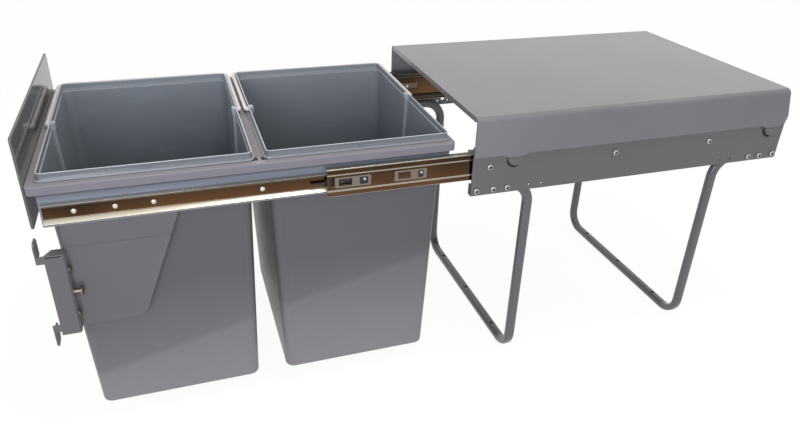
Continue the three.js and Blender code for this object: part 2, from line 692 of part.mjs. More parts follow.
// A strip with folded edges that holds a row of balls in the upper and the lower track.
function ballCage(webX, tipX, halfHeight, ballRadius, y0, length) {
  const body = channel(webX, tipX, halfHeight + CAGE_STEEL / 2, CAGE_STEEL, y0, y0 + length);
  const spacing = length / BALLS_PER_TRACK;
  const balls = [];
  for (let i = 0; i < BALLS_PER_TRACK; i += 1) {
    for (const level of [-1, 1]) {
      const ball = new THREE.SphereGeometry(ballRadius, 6, 5);
      balls.push(ball.translate(
        tipX + ballRadius, y0 + (i + 0.5) * spacing, slideZ + level * halfHeight,
      ));
    }
  }
  return toGeometry(join(body, ...balls));
}

function outerCage() {
  const track = middleHalfHeight + OUTER_RACE / 2;
  const tipX = middleOuterX - MIDDLE_FLANGE + CAGE_EDGE_INSET;
  return ballCage(outerCageX, tipX, track, OUTER_RACE / 2 - SEAT, outerCageY, OUTER_CAGE_LENGTH);
}

function innerCage() {
  const track = drawerMemberHalfHeight + INNER_RACE / 2;
  const tipX = drawerMemberX + CAGE_EDGE_INSET;
  return ballCage(innerCageX, tipX, track, INNER_RACE / 2 - SEAT, innerCageY, INNER_CAGE_LENGTH);
}

// The release lever turns on a pin in the drawer member, with its nose in front of the middle member.
function releaseLever() {
  const x0 = drawerMemberX + SLIDE_STEEL + RIVET_HEIGHT;
  const half = LEVER_HEIGHT / 2;
  const nose = LEVER_NOSE_HEIGHT / 2;
  const tail = LEVER_TAIL_HEIGHT / 2;
  const noseY = middleY - LEVER_NOSE;
  const tailY = middleY + LEVER_TAIL;
  const plate = alongX(outline([
    [noseY, slideZ - nose],
    [noseY + LEVER_SLOPE, slideZ - half],
    [tailY, slideZ - tail],
    [tailY, slideZ + tail],
    [noseY + LEVER_SLOPE, slideZ + half],
    [noseY, slideZ + nose],
  ]), x0, x0 + LEVER_THICKNESS);
  const pinHole = rodAlongX(
    SHANK_RADIUS + HOLE_GAP, x0 - PAST, x0 + LEVER_THICKNESS + PAST, middleY + LEVER_TAIL / 2, slideZ, 8,
  );
  return toGeometry(cut(toSolid(plate), pinHole));
}

// ---------------------------------------------------------------- drawer frame

// The rail stands in the collar's channel, carries the slide outside and turns in at the front.
function drawerRail() {
  const frontY = drawerMemberY - RAIL_AHEAD;
  const topZ = collarTopZ - COLLAR_TOP_PLATE - SEAT;
  const bottomZ = slideZ - RAIL_DROP;
  const notchZ = collarBottomZ - RAIL_NOTCH_DROP;
  const rearY = collarRearY - COLLAR_SKIRT - RAIL_END_GAP;
  const web = alongX(outline([
    [frontY, bottomZ],
    [rearY, bottomZ],
    [rearY, topZ],
    [frontY + RAIL_NOTCH, topZ],
    [frontY + RAIL_NOTCH, notchZ],
    [frontY, notchZ],
  ]), railInnerX, railOuterX);
  const frontFold = block(
    [railInnerX - RAIL_FOLD, frontY, bottomZ],
    [railOuterX, frontY + RAIL_STEEL, notchZ],
  );
  return toGeometry(join(web, frontFold));
}

// The collar carries the bins: a top plate with skirts, two openings and a ribbed bar between them.
function collarFrame() {
  const outerShape = roundedRectangle(
    [-collarOuterX, collarFrontY], [collarOuterX, collarRearY], COLLAR_CORNER,
  );
  const openingHalfX = binTopHalfX + BIN_OPENING_GAP;
  const openingHalfY = binTopHalfY + BIN_OPENING_END_GAP;
  const underZ = collarTopZ - COLLAR_TOP_PLATE;
  const opening = (y) => alongZ(roundedRectangle(
    [-openingHalfX, y - openingHalfY],
    [openingHalfX, y + openingHalfY],
    OPENING_CORNER,
  ), collarBottomZ - PAST, collarTopZ + PAST, 3);
  const body = toSolid(alongZ(outerShape, collarBottomZ, collarTopZ, 4));

  const channelX0 = openingHalfX + COLLAR_SKIRT;
  const channelX1 = collarOuterX - COLLAR_SKIRT;
  const channels = [1, -1].map((side) => block(
    [Math.min(side * channelX0, side * channelX1), collarFrontY + COLLAR_SKIRT, collarBottomZ - PAST],
    [Math.max(side * channelX0, side * channelX1), collarRearY - COLLAR_SKIRT, underZ],
  ));
  const crossHalf = crossBarY - frontBinY - openingHalfY;
  const crossChannel = block(
    [-openingHalfX, crossBarY - crossHalf + COLLAR_SKIRT, collarBottomZ - PAST],
    [openingHalfX, crossBarY + crossHalf - COLLAR_SKIRT, underZ],
  );
  const pocket = (sx, sy) => {
    const x = [openingHalfX - POCKET_OVER_OPENING, ledgeHalfX - POCKET_EDGE].map((value) => sx * value);
    const y = [CROSS_STEM / 2, crossHalf + POCKET_OVER_OPENING].map((value) => crossBarY + sy * value);
    return block(
      [Math.min(...x), Math.min(...y), collarBottomZ - PAST],
      [Math.max(...x), Math.max(...y), collarTopZ + PAST],
    );
  };
  const pockets = [[1, 1], [1, -1], [-1, 1], [-1, -1]].map(([sx, sy]) => pocket(sx, sy));
  const openings = [opening(frontBinY), opening(rearBinY)];
  const hollow = cut(body, ...openings, ...channels, crossChannel, ...pockets);
  const ribs = [-1, 0, 1].map((place) => {
    const y = crossBarY + place * CROSS_RIB_SPACING;
    const halfX = openingHalfX - CROSS_RIB_END;
    const footZ = collarTopZ - ROOT;
    return block([-halfX, y - CROSS_RIB / 2, footZ], [halfX, y + CROSS_RIB / 2, collarTopZ + CROSS_RIB]);
  });
  return toGeometry(ribs.reduce((sum, rib) => sum.add(toSolid(rib)), hollow));
}

function frontPanel() {
  const halfX = drawerMemberTipX - PANEL_SIDE_GAP;
  const bottomZ = slideZ - PANEL_DROP;
  const face = roundedRectangle([-halfX, bottomZ], [halfX, bottomZ + PANEL_HEIGHT], PANEL_CORNER);
  return alongY(face, panelOuterY, panelInnerY, 4);
}

// A plate below the rail with a slanted rear edge, and a flange at its front for the door bracket.
const wingFrontY = panelInnerY + WING_SETBACK;
const wingFootZ = slideZ - WING_DROP;
const bracketOuterX = wingOuterX + WING_FLANGE;
const bracketScrewX = wingOuterX + WING_FLANGE / 2;
const bracketFootZ = wingFootZ - BRACKET_BELOW_WING;
const bracketTopZ = bracketFootZ + BRACKET_HEIGHT;
const bracketMiddleZ = bracketFootZ + BRACKET_HEIGHT / 2;

function wingPlate() {
  const shape = new THREE.Shape();
  const slantTopZ = slideZ - WING_SLANT_TOP;
  shape.moveTo(wingFrontY, wingFootZ);
  shape.lineTo(wingFrontY + WING_FOOT - WING_CORNER, wingFootZ);
  shape.quadraticCurveTo(
    wingFrontY + WING_FOOT, wingFootZ,
    wingFrontY + WING_FOOT + WING_CORNER_LEAN, wingFootZ + WING_CORNER,
  );
  shape.lineTo(wingFrontY + WING_LENGTH, slantTopZ);
  shape.lineTo(wingFrontY + WING_LENGTH, collarBottomZ - SEAT);
  shape.lineTo(wingFrontY, collarBottomZ - SEAT);
  const plate = alongX(shape, wingInnerX, wingOuterX, 4);
  const flange = block(
    [wingInnerX, wingFrontY, wingFootZ],
    [bracketOuterX, wingFrontY + WING_STEEL, bracketTopZ],
  );
  const holes = bracketHoles(wingFrontY, wingFrontY + WING_STEEL);
  return toGeometry(cut(join(plate, flange), ...holes));
}

// Two clamp screws and, between them, the adjusting screw.
function bracketHoles(y0, y1) {
  const hole = (radius, z) => rodAlongY(radius + HOLE_GAP, bracketScrewX, y0 - PAST, y1 + PAST, z, 8);
  return [
    hole(SHANK_RADIUS, bracketMiddleZ + CLAMP_SCREW_OFFSET),
    hole(ADJUSTER_RADIUS, bracketMiddleZ),
    hole(SHANK_RADIUS, bracketMiddleZ - CLAMP_SCREW_OFFSET),
  ];
}

// A channel in front of the wing's flange, with two ears that face the cabinet door.
function doorBracket() {
  const rearY = wingFrontY - SEAT;
  const frontY = rearY - BRACKET_DEPTH;
  const earY = frontY - EAR_REACH;
  const sideX = bracketOuterX - BRACKET_SHEET;
  const side = block([sideX, frontY, bracketFootZ], [bracketOuterX, rearY, bracketTopZ]);
  const back = block([wingInnerX, rearY - BRACKET_SHEET, bracketFootZ], [bracketOuterX, rearY, bracketTopZ]);
  const end = (z) => alongZ(outline([
    [wingInnerX, rearY],
    [bracketOuterX, rearY],
    [bracketOuterX, frontY],
    [bracketOuterX - BRACKET_SHEET, frontY],
    [wingInnerX, frontY + BRACKET_END_SLANT],
  ]), z, z + BRACKET_SHEET);
  const tab = (z) => block([sideX, earY, z], [bracketOuterX, frontY + ROOT, z + EAR_TAB]);
  const ear = (rootZ, tipZ) => {
    const far = bracketOuterX - EAR_WIDTH;
    const shoulderZ = tipZ - Math.sign(tipZ - rootZ) * EAR_CHAMFER;
    return alongY(outline([
      [bracketOuterX, rootZ],
      [bracketOuterX, shoulderZ],
      [bracketOuterX - EAR_CHAMFER, tipZ],
      [far + EAR_CHAMFER, tipZ],
      [far, shoulderZ],
      [far, rootZ],
    ]), earY, earY + BRACKET_SHEET);
  };
  const upperTipZ = bracketTopZ + UPPER_EAR_ABOVE;
  const lowerTipZ = bracketFootZ - LOWER_EAR_BELOW;
  const body = join(
    side, back, end(bracketFootZ), end(bracketTopZ - BRACKET_SHEET),
    tab(bracketTopZ - EAR_TAB), ear(upperTipZ - EAR_HEIGHT, upperTipZ),
    tab(lowerTipZ + EAR_HEIGHT - ROOT), ear(lowerTipZ + EAR_HEIGHT, lowerTipZ),
  );
  return toGeometry(cut(body, ...bracketHoles(rearY - BRACKET_SHEET, rearY)));
}

// A screw along -Y through the wing's flange into the bracket, with its head standOff from the flange.
function bracketScrew(z, shankRadius, headRadius, length, standOff) {
  const seatY = wingFrontY + WING_STEEL + SEAT + standOff;
  const points = [
    [0, 0],
    [0, shankRadius],
    [length, shankRadius],
    ...headCurve(length, HEAD_HEIGHT, headRadius),
  ].map(([y, radius]) => new THREE.Vector2(radius, y));
  return new THREE.LatheGeometry(points, 10).translate(bracketScrewX, seatY - length, z);
}

const clampScrew = (z) => bracketScrew(z, SHANK_RADIUS, HEAD_RADIUS, CLAMP_SCREW_LENGTH, 0);

function adjustingScrew() {
  return bracketScrew(
    bracketMiddleZ, ADJUSTER_RADIUS, ADJUSTER_HEAD_RADIUS, ADJUSTER_LENGTH, ADJUSTER_STANDOFF,
  );
}

// ---------------------------------------------------------------- bins

// A tapered tub with a stepped rim; bosses in its end walls take the handle's pins.
function bin() {
  const corner = BIN_CORNER;
  const t = BIN_WALL;
  const foot = BIN_FOOT_RADIUS;
  const inset = t + BIN_INNER_FOOT;
  const heel = foot * (1 - Math.SQRT1_2); // the middle of the foot's rounding
  const rings = [
    ring(binFootHalfX - foot, binFootHalfY - foot, corner - foot, binFootZ),
    ring(binFootHalfX - heel, binFootHalfY - heel, corner - heel, binFootZ + heel),
    ring(binFootHalfX, binFootHalfY, corner, binFootZ + foot),
    ring(binTopHalfX, binTopHalfY, corner, ledgeZ),
    ring(ledgeHalfX, ledgeHalfY, RIM_CORNER + LEDGE_OVERHANG, ledgeZ),
    ring(ledgeHalfX, ledgeHalfY, RIM_CORNER + LEDGE_OVERHANG, ledgeZ + LEDGE),
    ring(rimHalfX, rimHalfY, RIM_CORNER, ledgeZ + LEDGE),
    ring(rimHalfX, rimHalfY, RIM_CORNER, rimTopZ),
    ring(rimHalfX - t, rimHalfY - t, RIM_CORNER - t, rimTopZ),
    ring(rimHalfX - t, rimHalfY - t, RIM_CORNER - t, ledgeZ + LEDGE),
    ring(binTopHalfX - t, binTopHalfY - t, corner - t, ledgeZ + LEDGE - LEDGE_FALL),
    ring(binFootHalfX - t, binFootHalfY - t, corner - t, binFootZ + foot),
    ring(binFootHalfX - inset, binFootHalfY - inset, corner - inset, binFootZ + t),
  ];
  const shell = toSolid(skin(rings));
  const wallY = rimHalfY - t;
  const leanPerHeight = BIN_END_DRAFT / (ledgeZ - binFootZ);
  const ribZ0 = binFootZ + RIB_FOOT;
  const inside = (z) => binTopHalfY - t - (ledgeZ - z) * leanPerHeight;
  const rib = outline([
    [inside(ribZ0) + ROOT, ribZ0],
    [inside(ledgeZ) + ROOT, ledgeZ],
    [inside(ledgeZ) + ROOT, pinZ],
    [inside(ledgeZ) - RIB_DEPTH, pinZ],
    [inside(ribZ0) - RIB_DEPTH, ribZ0],
  ]);
  const rearRib = alongX(rib, -RIB_HALF_WIDTH, RIB_HALF_WIDTH);
  const rearBoss = block(
    [-BOSS_HALF_WIDTH, wallY - BOSS_DEPTH, ledgeZ + LEDGE - ROOT],
    [BOSS_HALF_WIDTH, wallY + ROOT, rimTopZ - BOSS_BELOW_RIM],
  );
  const mark = rodAlongX(
    MARK_RADIUS, rimHalfX - ROOT, rimHalfX + MARK_HEIGHT, 0, ledgeZ + LEDGE + MARK_ABOVE_LEDGE, 8,
  );
  const turned = (geometry) => geometry.clone().rotateZ(Math.PI);
  const solid = [rearRib, rearBoss, mark, turned(rearRib), turned(rearBoss), turned(mark)]
    .reduce((sum, piece) => sum.add(toSolid(piece)), shell);
  const pinHole = rodAlongY(
    WIRE_RADIUS + HOLE_GAP, 0, wallY - BOSS_DEPTH - RIB_DEPTH - PAST, rimHalfY + PAST, pinZ, 10,
  );
  return toGeometry(cut(solid, pinHole, turned(pinHole)));
}

// A wire bail: pins into both end walls, arms across to the left, a crossbar along the left side.
function handle() {
  const pinY = rimHalfY - BIN_WALL - PIN_INSIDE;
  const path = new BentPath([
    [0, -pinY, pinZ],
    [0, -armY, pinZ],
    [-handleSideX, -armY, pinZ],
    [-handleSideX, armY, pinZ],
    [0, armY, pinZ],
    [0, pinY, pinZ],
  ], [HANDLE_PIN_BEND, HANDLE_BEND, HANDLE_BEND, HANDLE_PIN_BEND], 4);
  return sweep(disc(WIRE_RADIUS), path, 4);
}

// ---------------------------------------------------------------- assembly

const unit = new THREE.Group();

function place(parent, name, geometry, look) {
  const mesh = new THREE.Mesh(geometry, new THREE.MeshStandardMaterial(look));
  mesh.name = name;
  parent.add(mesh);
  return mesh;
}

// A piece drawn on the right, and its mirror image on the left.
function placePair(parent, name, geometry, look) {
  place(parent, `${name}_right`, geometry, look);
  place(parent, `${name}_left`, mirrored(geometry), look);
}

const housing = new THREE.Group();
const drawer = new THREE.Group();
unit.add(housing, drawer);

place(housing, 'cover_lid', coverLid(), LID_PAINT);
placePair(housing, 'side_plate', sidePlate(), GREY_PAINT);
const rearScrews = HOOP_SCREWS.map((y) => HOUSING_DEPTH - y);
place(housing, 'front_hoop_leg', hoopLeg(HOUSING_SHEET + HOOP_START, FRONT_HOOP_Y, HOOP_SCREWS), TUBE_PAINT);
place(housing, 'rear_hoop_leg', hoopLeg(HOUSING_DEPTH - HOOP_START, rearHoopY, rearScrews), TUBE_PAINT);
placePair(housing, 'slide_cabinet_member', cabinetMember(), ZINC);
SLIDE_SCREWS.forEach((y, i) => {
  placePair(housing, `slide_screw_${i + 1}`, panScrew(y, slideZ, cabinetWebX + SEAT), BRIGHT_STEEL);
});
const hoopScrewEnd = hoopX + SEAT;
HOOP_SCREWS.forEach((y, i) => {
  placePair(housing, `front_hoop_screw_${i + 1}`, panScrew(y, hoopTopZ, hoopScrewEnd), BRIGHT_STEEL);
  const rearScrew = panScrew(HOUSING_DEPTH - y, hoopTopZ, hoopScrewEnd);
  placePair(housing, `rear_hoop_screw_${i + 1}`, rearScrew, BRIGHT_STEEL);
});

placePair(unit, 'outer_ball_cage', outerCage(), ZINC);
placePair(unit, 'slide_middle_member', middleMember(), ZINC);
placePair(unit, 'inner_ball_cage', innerCage(), ZINC);

placePair(drawer, 'slide_drawer_member', drawerMember(), ZINC);
placePair(drawer, 'release_lever', releaseLever(), BLACK_PLASTIC);
placePair(drawer, 'drawer_rail', drawerRail(), GREY_PAINT);
place(drawer, 'collar_frame', collarFrame(), COLLAR_PLASTIC);
place(drawer, 'front_panel', frontPanel(), PANEL_GLOSS);
placePair(drawer, 'wing_plate', wingPlate(), GREY_PAINT);
placePair(drawer, 'door_bracket', doorBracket(), GREY_PAINT);
placePair(drawer, 'bracket_screw_upper', clampScrew(bracketMiddleZ + CLAMP_SCREW_OFFSET), BRIGHT_STEEL);
placePair(drawer, 'bracket_screw_lower', clampScrew(bracketMiddleZ - CLAMP_SCREW_OFFSET), BRIGHT_STEEL);
placePair(drawer, 'adjusting_screw', adjustingScrew(), BRIGHT_STEEL);

for (const [name, y] of [['front', frontBinY], ['rear', rearBinY]]) {
  place(drawer, `${name}_bin`, bin(), BIN_PLASTIC).position.y = y;
  place(drawer, `${name}_bin_handle`, handle(), HANDLE_PLASTIC).position.y = y;
}

// The origin is the middle of the footprint, on the floor.
const bounds = new THREE.Box3().setFromObject(unit);
const model = new THREE.Group();
unit.position.set(0, -(bounds.min.y + bounds.max.y) / 2, -bounds.min.z);
model.add(unit);

export default model;
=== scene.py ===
"""A pull-out kitchen waste unit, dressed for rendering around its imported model.

Sizes here are in millimetres, in the model's frame: +Z up, -Y the way the drawer pulls out. A side is 1 on
the right and -1 on the left. The piece that stands for a node is named after it, with _fine.
"""
import json
import math
from types import SimpleNamespace

import bmesh
import bpy
from mathutils import Matrix, Vector

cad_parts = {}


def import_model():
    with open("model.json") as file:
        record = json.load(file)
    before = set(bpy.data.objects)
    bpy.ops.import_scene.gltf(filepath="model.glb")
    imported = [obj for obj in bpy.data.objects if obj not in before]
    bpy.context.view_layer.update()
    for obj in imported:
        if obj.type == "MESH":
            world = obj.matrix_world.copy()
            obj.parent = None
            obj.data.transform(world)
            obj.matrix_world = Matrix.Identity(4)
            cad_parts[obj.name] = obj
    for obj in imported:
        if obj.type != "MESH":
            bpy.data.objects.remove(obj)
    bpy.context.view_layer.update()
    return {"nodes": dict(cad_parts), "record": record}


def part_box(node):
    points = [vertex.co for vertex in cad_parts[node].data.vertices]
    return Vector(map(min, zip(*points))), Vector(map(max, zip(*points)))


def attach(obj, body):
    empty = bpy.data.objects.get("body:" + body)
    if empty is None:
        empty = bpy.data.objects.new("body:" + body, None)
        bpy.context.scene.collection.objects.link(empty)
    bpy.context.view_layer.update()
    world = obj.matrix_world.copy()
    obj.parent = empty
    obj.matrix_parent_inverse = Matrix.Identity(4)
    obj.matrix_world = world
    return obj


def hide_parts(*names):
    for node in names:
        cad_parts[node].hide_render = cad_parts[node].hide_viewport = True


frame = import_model()

MM = 0.001
SIDES = {"right": 1, "left": -1}
SCENE = bpy.context.scene

# -------- sizes

OVERCUT = 2  # how far a cutting tool reaches past the faces it cuts
SKIM = 0.2  # the same where something else stands close by
TIP = 0.05  # radius left at the end of a turned form
DOME_STEPS = 7

# bins, inward from the ledge's edge
LEDGE = 2.2
LEDGE_OVERHANG = 2
LEDGE_END_OVERHANG = 2.5
RIM_SIDE_STEP = 9.5
RIM_END_STEP = 1.5
RIM_HEIGHT = 9.7
RIM_CORNER = 6
RIM_HOLLOW = 0.5  # how far the rim's band is drawn in at its middle
BIN_WALL = 1.6
BIN_CORNER = 12
BIN_SIDE_DRAFT = 11
BIN_END_DRAFT = 10
BIN_FOOT_RADIUS = 4
BIN_EDGE = 0.5
WALL_RINGS = (0.03, 0.35, 0.7, 0.97)  # shares of the wall's height
SMALLEST_CORNER = 0.6
CORNER_GROOVE = 0.8  # half the width of the fine line on each side of a corner
CORNER_GROOVE_DEPTH = 0.5
MARK_RADIUS = 3.4  # the round moulded mark in the middle of each long rim
MARK_HEIGHT = 0.5
MARK_ABOVE_LEDGE = 4
RIB_HALF_WIDTH = 3.5
RIB_DEPTH = 2
RIB_FOOT = 60
INTO_WALL = 0.8  # how far a rib or boss reaches into the wall behind it
BOSS_HALF_WIDTH = 5
BOSS_DEPTH = 5
BOSS_BELOW_RIM = 0.2

# handles
WIRE_RADIUS = 2.8
WIRE_GAP = 0.3
HANDLE_BEND = 12
HANDLE_PIN_BEND = 3.2
PIN_INSIDE = 4

# side plates
HOUSING_SHEET = 2
PLATE_STOP_TAB = 7
SCOOP_FRONT = 58
SCOOP_REAR = 25.5
SCOOP_HALF_WIDTH = 11.2
SCOOP_DEPTH = 11
TAB_REACH = 2.6
# a dark groove under each scoop is painted shade, the scoop's shadow
SCOOP_SHADOW_DROP = 4  # height of the shadow groove under a scoop
SCOOP_SHADOW_WIDER = 1.5  # how far it reaches past the scoop at each end
SCOOP_SHADOW_ARC = range(-158, -21, 8)  # degrees round the scoop's middle, from front to rear
SCOOP_SHADOW_DEPTH = 1.4
TIE_HOLE = 3.3  # radius of the open hole near the front of the left plate
TIE_HOLE_FRONT = 100
TIE_HOLE_UP = 10.5

# wing plates and door brackets
WING_STEEL = 1
CREASE_DEPTH = 0.6
CREASE_RISE = 2.8
CREASE_FOOT = 0.5
UPPER_EAR_ABOVE = 16
BRACKET_SHEET = 2
EAR_REACH = 8.2
SEAM = (-2.6, -1.5)  # its lower and upper edge, from the upper ear's foot
SEAM_ENDS = (1.5, 2.5)  # steel left in front of the seam and behind it
SEAM_DEPTH = 0.8  # share of the bracket's sheet

# hoops
TUBE_WIDE = 14
TUBE_THIN = 11
TUBE_EDGE = 4.5
HOOP_BEND = 30
FLOOR_SCREW_SPACING = 103
FLOOR_SCREW_HOLE = 3

# slides
SLIDE_STEEL = 1.3
SLIDE_BEND = 1.6
LIP_EDGE = 0.5
WEB_BEND = 0.6
LIP_CLEARANCE = 0.2
RACE_CROWN = 3.5  # rise of the ball track inside the drawer member's flanges
RACE_EDGE = 0.6
RACE_FOOT = 1  # from the web to where the track starts to rise
RACE_BEND = 1.5
WEB_SINK = 0.75  # the middle member's web lies this far behind its tracks
WEB_STEP = 2.2
WEB_HALF = 9.2
# The blind windows' black floors are painted shade, for the dark seen through an open window.
# each window's start, end, floor above the web's inner face (below 0 where it is open) and look
MIDDLE_WINDOWS = [
    (14, 30.5, -2, "zinc_bright"), (40, 50.6, 0.25, "black_plastic"),
    (88.6, 105.3, 0.25, "zinc_steel"), (114.6, 121.5, 0.25, "black_plastic"),
]
WINDOW_HALF = 4.6
WINDOW_CORNER = 0.8
LATCH_SLOT = (3.4, 8)  # the upright slot at the front end, where the release lever catches
LATCH_SLOT_HALF = 6.6
LATCH_SLOT_CORNER = 0.6
STOP_POCKET = (192, 232)  # pressed into the inner face, behind the housing's front edge
STOP_POCKET_HALF = 6
STOP_POCKET_DEPTH = 0.6
STOP_POCKET_CORNER = 2.5
PAD_MARGIN = (1.6, 1.2)  # from the pocket's raised middle to its edge, along and across
PAD_SUNK = 0.1
PAD_CORNER = 1.4
# distance and radius of the small studs in the pocket and behind two windows
STOP_STUD = [(-0.3, 2.2), (0.1, 2.2), (0.25, 1.5), (0.3, TIP)]  # low enough for the inner ball cage to pass
STOP_STUD_SUNK = 0.2
WINDOW_STUD = [(-0.1, 1.5), (0.45, 1.5), (0.75, 1), (0.85, TIP)]
WINDOW_STUD_OFF = (1, 1.2)  # from the window's middle, rearward and up
WINDOW_FRAMES = [(9.5, 54), (84, 126)]
FRAME_RISE = 0.35
FRAME_ROOT = 0.3
FRAME_MARGIN = 2.2
FRAME_CORNER = 1
RIVETS = [30.9, 72.8, 113.1, 233.4]
RIVET_RADIUS = 3.1
RIVET_HEIGHT = 1.6
RIVET_ROOT = 0.4
PIN_SHORT = 0.3  # the lever's pin ends this far inside the drawer member's lips

# release levers, by shares of their length from the nose's tip
LEVER_NOSE = [(0, 0.9, 0.6), (0.3, 1.8, 1.2)]  # with the depth below the middle and the height above it
LEVER_BODY = [(0.33, 1), (0.42, 1), (0.46, 0.7), (1, 0.6)]  # with shares of half the lever's height
LEVER_PIN = 1 / 3  # share of the length from the rear end

# screws
HEAD_RADIUS = 4.1
HEAD_HEIGHT = 2.4
HEAD_SHOULDER = 0.3  # share of the head's height
HEAD_CROWN = 0.62  # share of the radius over which the top curves in
SHANK_RADIUS = 1.9
ADJUSTER_HEAD_RADIUS = 6
ADJUSTER_RADIUS = 3
RECESS_WIDTH = 1.5
RECESS_REACH = 2.8
RECESS_DEPTH = 1.5
RECESS_FOOT = 0.45  # shares of its reach at its foot and just above the head
RECESS_MOUTH = 1.1
RECESS_TURN = 0.37  # radians from one screw's recess to the next one's
PLATE_SCREWS = ("slide_screw", "front_hoop_screw", "rear_hoop_screw")
# shank radius, head radius, scale of the recess and look
DOOR_SCREWS = {
    "bracket_screw_upper": (SHANK_RADIUS, HEAD_RADIUS, 1.0, "dark_screw"),
    "bracket_screw_lower": (SHANK_RADIUS, HEAD_RADIUS, 1.0, "dark_screw"),
    "adjusting_screw": (ADJUSTER_RADIUS, ADJUSTER_HEAD_RADIUS, 1.4, "yellow_screw"),
}
DOOR_SCREW_TURN = 0.6

# -------- mesh helpers


def span(node):
    """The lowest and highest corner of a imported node, in millimetres."""
    low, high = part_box(node)
    return low / MM, high / MM


def add_object(name, data):
    obj = bpy.data.objects.new(name, data)
    SCENE.collection.objects.link(obj)
    return obj


def new_object(name, bm, sharp=35, looks=()):
    """A smooth-shaded object from a mesh in millimetres, with edges over `sharp` degrees kept crisp."""
    bmesh.ops.recalc_face_normals(bm, faces=bm.faces)
    bmesh.ops.scale(bm, vec=(MM, MM, MM), verts=bm.verts)
    mesh = bpy.data.meshes.new(name)
    bm.to_mesh(mesh)
    bm.free()
    mesh.shade_smooth()
    mesh.set_sharp_from_angle(angle=math.radians(sharp))
    for look in looks:
        mesh.materials.append(LOOKS[look])
    return add_object(name, mesh)


def even_shading(obj):
    """Keeps flat faces flat in the shading, right up to their rounded edges."""
    modifier = obj.modifiers.new("even_shading", "WEIGHTED_NORMAL")
    modifier.keep_sharp = True
    modifier.weight = 90
    return obj


def round_edges(bm, width, over=50, segments=2):
    """Rounds every edge that turns by more than `over` degrees."""
    limit = math.radians(over)
    edges = [e for e in bm.edges if len(e.link_faces) == 2 and e.calc_face_angle(0) > limit]
    bmesh.ops.bevel(
        bm, geom=edges, offset=width, offset_type="OFFSET", segments=segments,
        profile=0.5, affect="EDGES", clamp_overlap=True,
    )


def combine(obj, added=(), cut=(), sharp=35):
    """Joins the added solids to obj, cuts the others out of it, and deletes them all."""
    for operation, tools in (("UNION", added), ("DIFFERENCE", cut)):
        for solid in tools:
            modifier = obj.modifiers.new("combine", "BOOLEAN")
            modifier.operation = operation
            modifier.solver = "EXACT"
            modifier.material_mode = "TRANSFER"
            modifier.object = solid
    bpy.context.view_layer.update()
    evaluated = obj.evaluated_get(bpy.context.evaluated_depsgraph_get())
    mesh = bpy.data.meshes.new_from_object(evaluated)
    obj.modifiers.clear()
    obj.data = mesh
    for solid in (*added, *cut):
        bpy.data.objects.remove(solid)
    mesh.shade_smooth()
    mesh.set_sharp_from_angle(angle=math.radians(sharp))
    return obj


def tool(make, *args, look=None, sharp=35):
    """A solid made by make(bm, *args), for combine."""
    bm = bmesh.new()
    make(bm, *args)
    return new_object("tool", bm, sharp, [look] if look else [])


def skin(bm, rings):
    """Faces between rings of points, and over both ends."""
    rows = [[bm.verts.new(point) for point in ring] for ring in rings]
    count = len(rows[0])
    for lower, upper in zip(rows, rows[1:]):
        for i in range(count):
            j = (i + 1) % count
            bm.faces.new((lower[i], lower[j], upper[j], upper[i]))
    bm.faces.new(rows[0])
    bm.faces.new(rows[-1])
    return rows


def fillet(points, radius, steps):
    """A closed outline with each corner rounded. radius is one number, or one for each corner."""
    radii = radius if isinstance(radius, (list, tuple)) else [radius] * len(points)
    rounded = []
    for i, corner in enumerate(points):
        corner = Vector(corner)
        back = Vector(points[i - 1]) - corner
        ahead = Vector(points[(i + 1) % len(points)]) - corner
        half = back.angle(ahead) / 2
        reach = radii[i] / math.tan(half) if radii[i] > 0 else 0
        if reach <= 0:
            rounded.append(tuple(corner))
            continue
        start = corner + back.normalized() * reach
        end = corner + ahead.normalized() * reach
        inward = (back.normalized() + ahead.normalized()).normalized()
        centre = corner + inward * (radii[i] / math.sin(half))
        turn = (start - centre).angle_signed(end - centre)
        for step in range(steps + 1):
            spoke = start - centre
            spoke.rotate(Matrix.Rotation(-turn * step / steps, 2))
            rounded.append(tuple(centre + spoke))
    return rounded


def rectangle(a0, a1, b0, b1):
    return [(a0, b0), (a1, b0), (a1, b1), (a0, b1)]


def quarter_turn(steps):
    """Angles from 0 to a right angle."""
    return [math.pi / 2 * i / steps for i in range(steps + 1)]


def prism(bm, outline, place, start, end):
    """An outline pushed from start to end. place(a, b, t) gives the point in space."""
    return skin(bm, [[place(a, b, t) for a, b in outline] for t in (start, end)])


def along_y(x, z, y):
    return (x, y, z)


def along_x(y, z, x):
    return (x, y, z)


def rod(radius, start, end):
    """A lathe profile of one radius."""
    return [(start, radius), (end, radius)]


def lathe(bm, profile, axis_point, axis, segments):
    """Turns (distance along the axis, radius) pairs round an axis."""
    axis = Vector(axis).normalized()
    side = axis.orthogonal().normalized()
    other = axis.cross(side)
    rings = []
    for distance, radius in profile:
        centre = Vector(axis_point) + axis * distance
        rings.append([
            centre + radius * (side * math.cos(a) + other * math.sin(a))
            for a in (2 * math.pi * i / segments for i in range(segments))
        ])
    return skin(bm, rings)


def rounded_ring(half_x, half_y, radius, centre_y, z, groove=0, steps=8):
    """A level ring round a rounded rectangle, with a groove of the given depth on each side of a corner."""
    ring = []
    for quarter, (sx, sy) in enumerate(((1, 1), (-1, 1), (-1, -1), (1, -1))):
        corner = Vector((sx * (half_x - radius), centre_y + sy * (half_y - radius), z))
        turns = (quarter * math.pi / 2, (quarter + 1) * math.pi / 2)
        start, end = (Vector((math.cos(a), math.sin(a), 0)) for a in turns)
        before = [corner + start * (radius - depth) - end * back
                  for back, depth in ((2 * CORNER_GROOVE, 0), (CORNER_GROOVE, groove))]
        arc = [corner + radius * (start * math.cos(a) + end * math.sin(a)) for a in quarter_turn(steps)]
        after = [corner + end * (radius - depth) - start * back
                 for back, depth in ((CORNER_GROOVE, groove), (2 * CORNER_GROOVE, 0))]
        ring += before + arc + after
    return ring


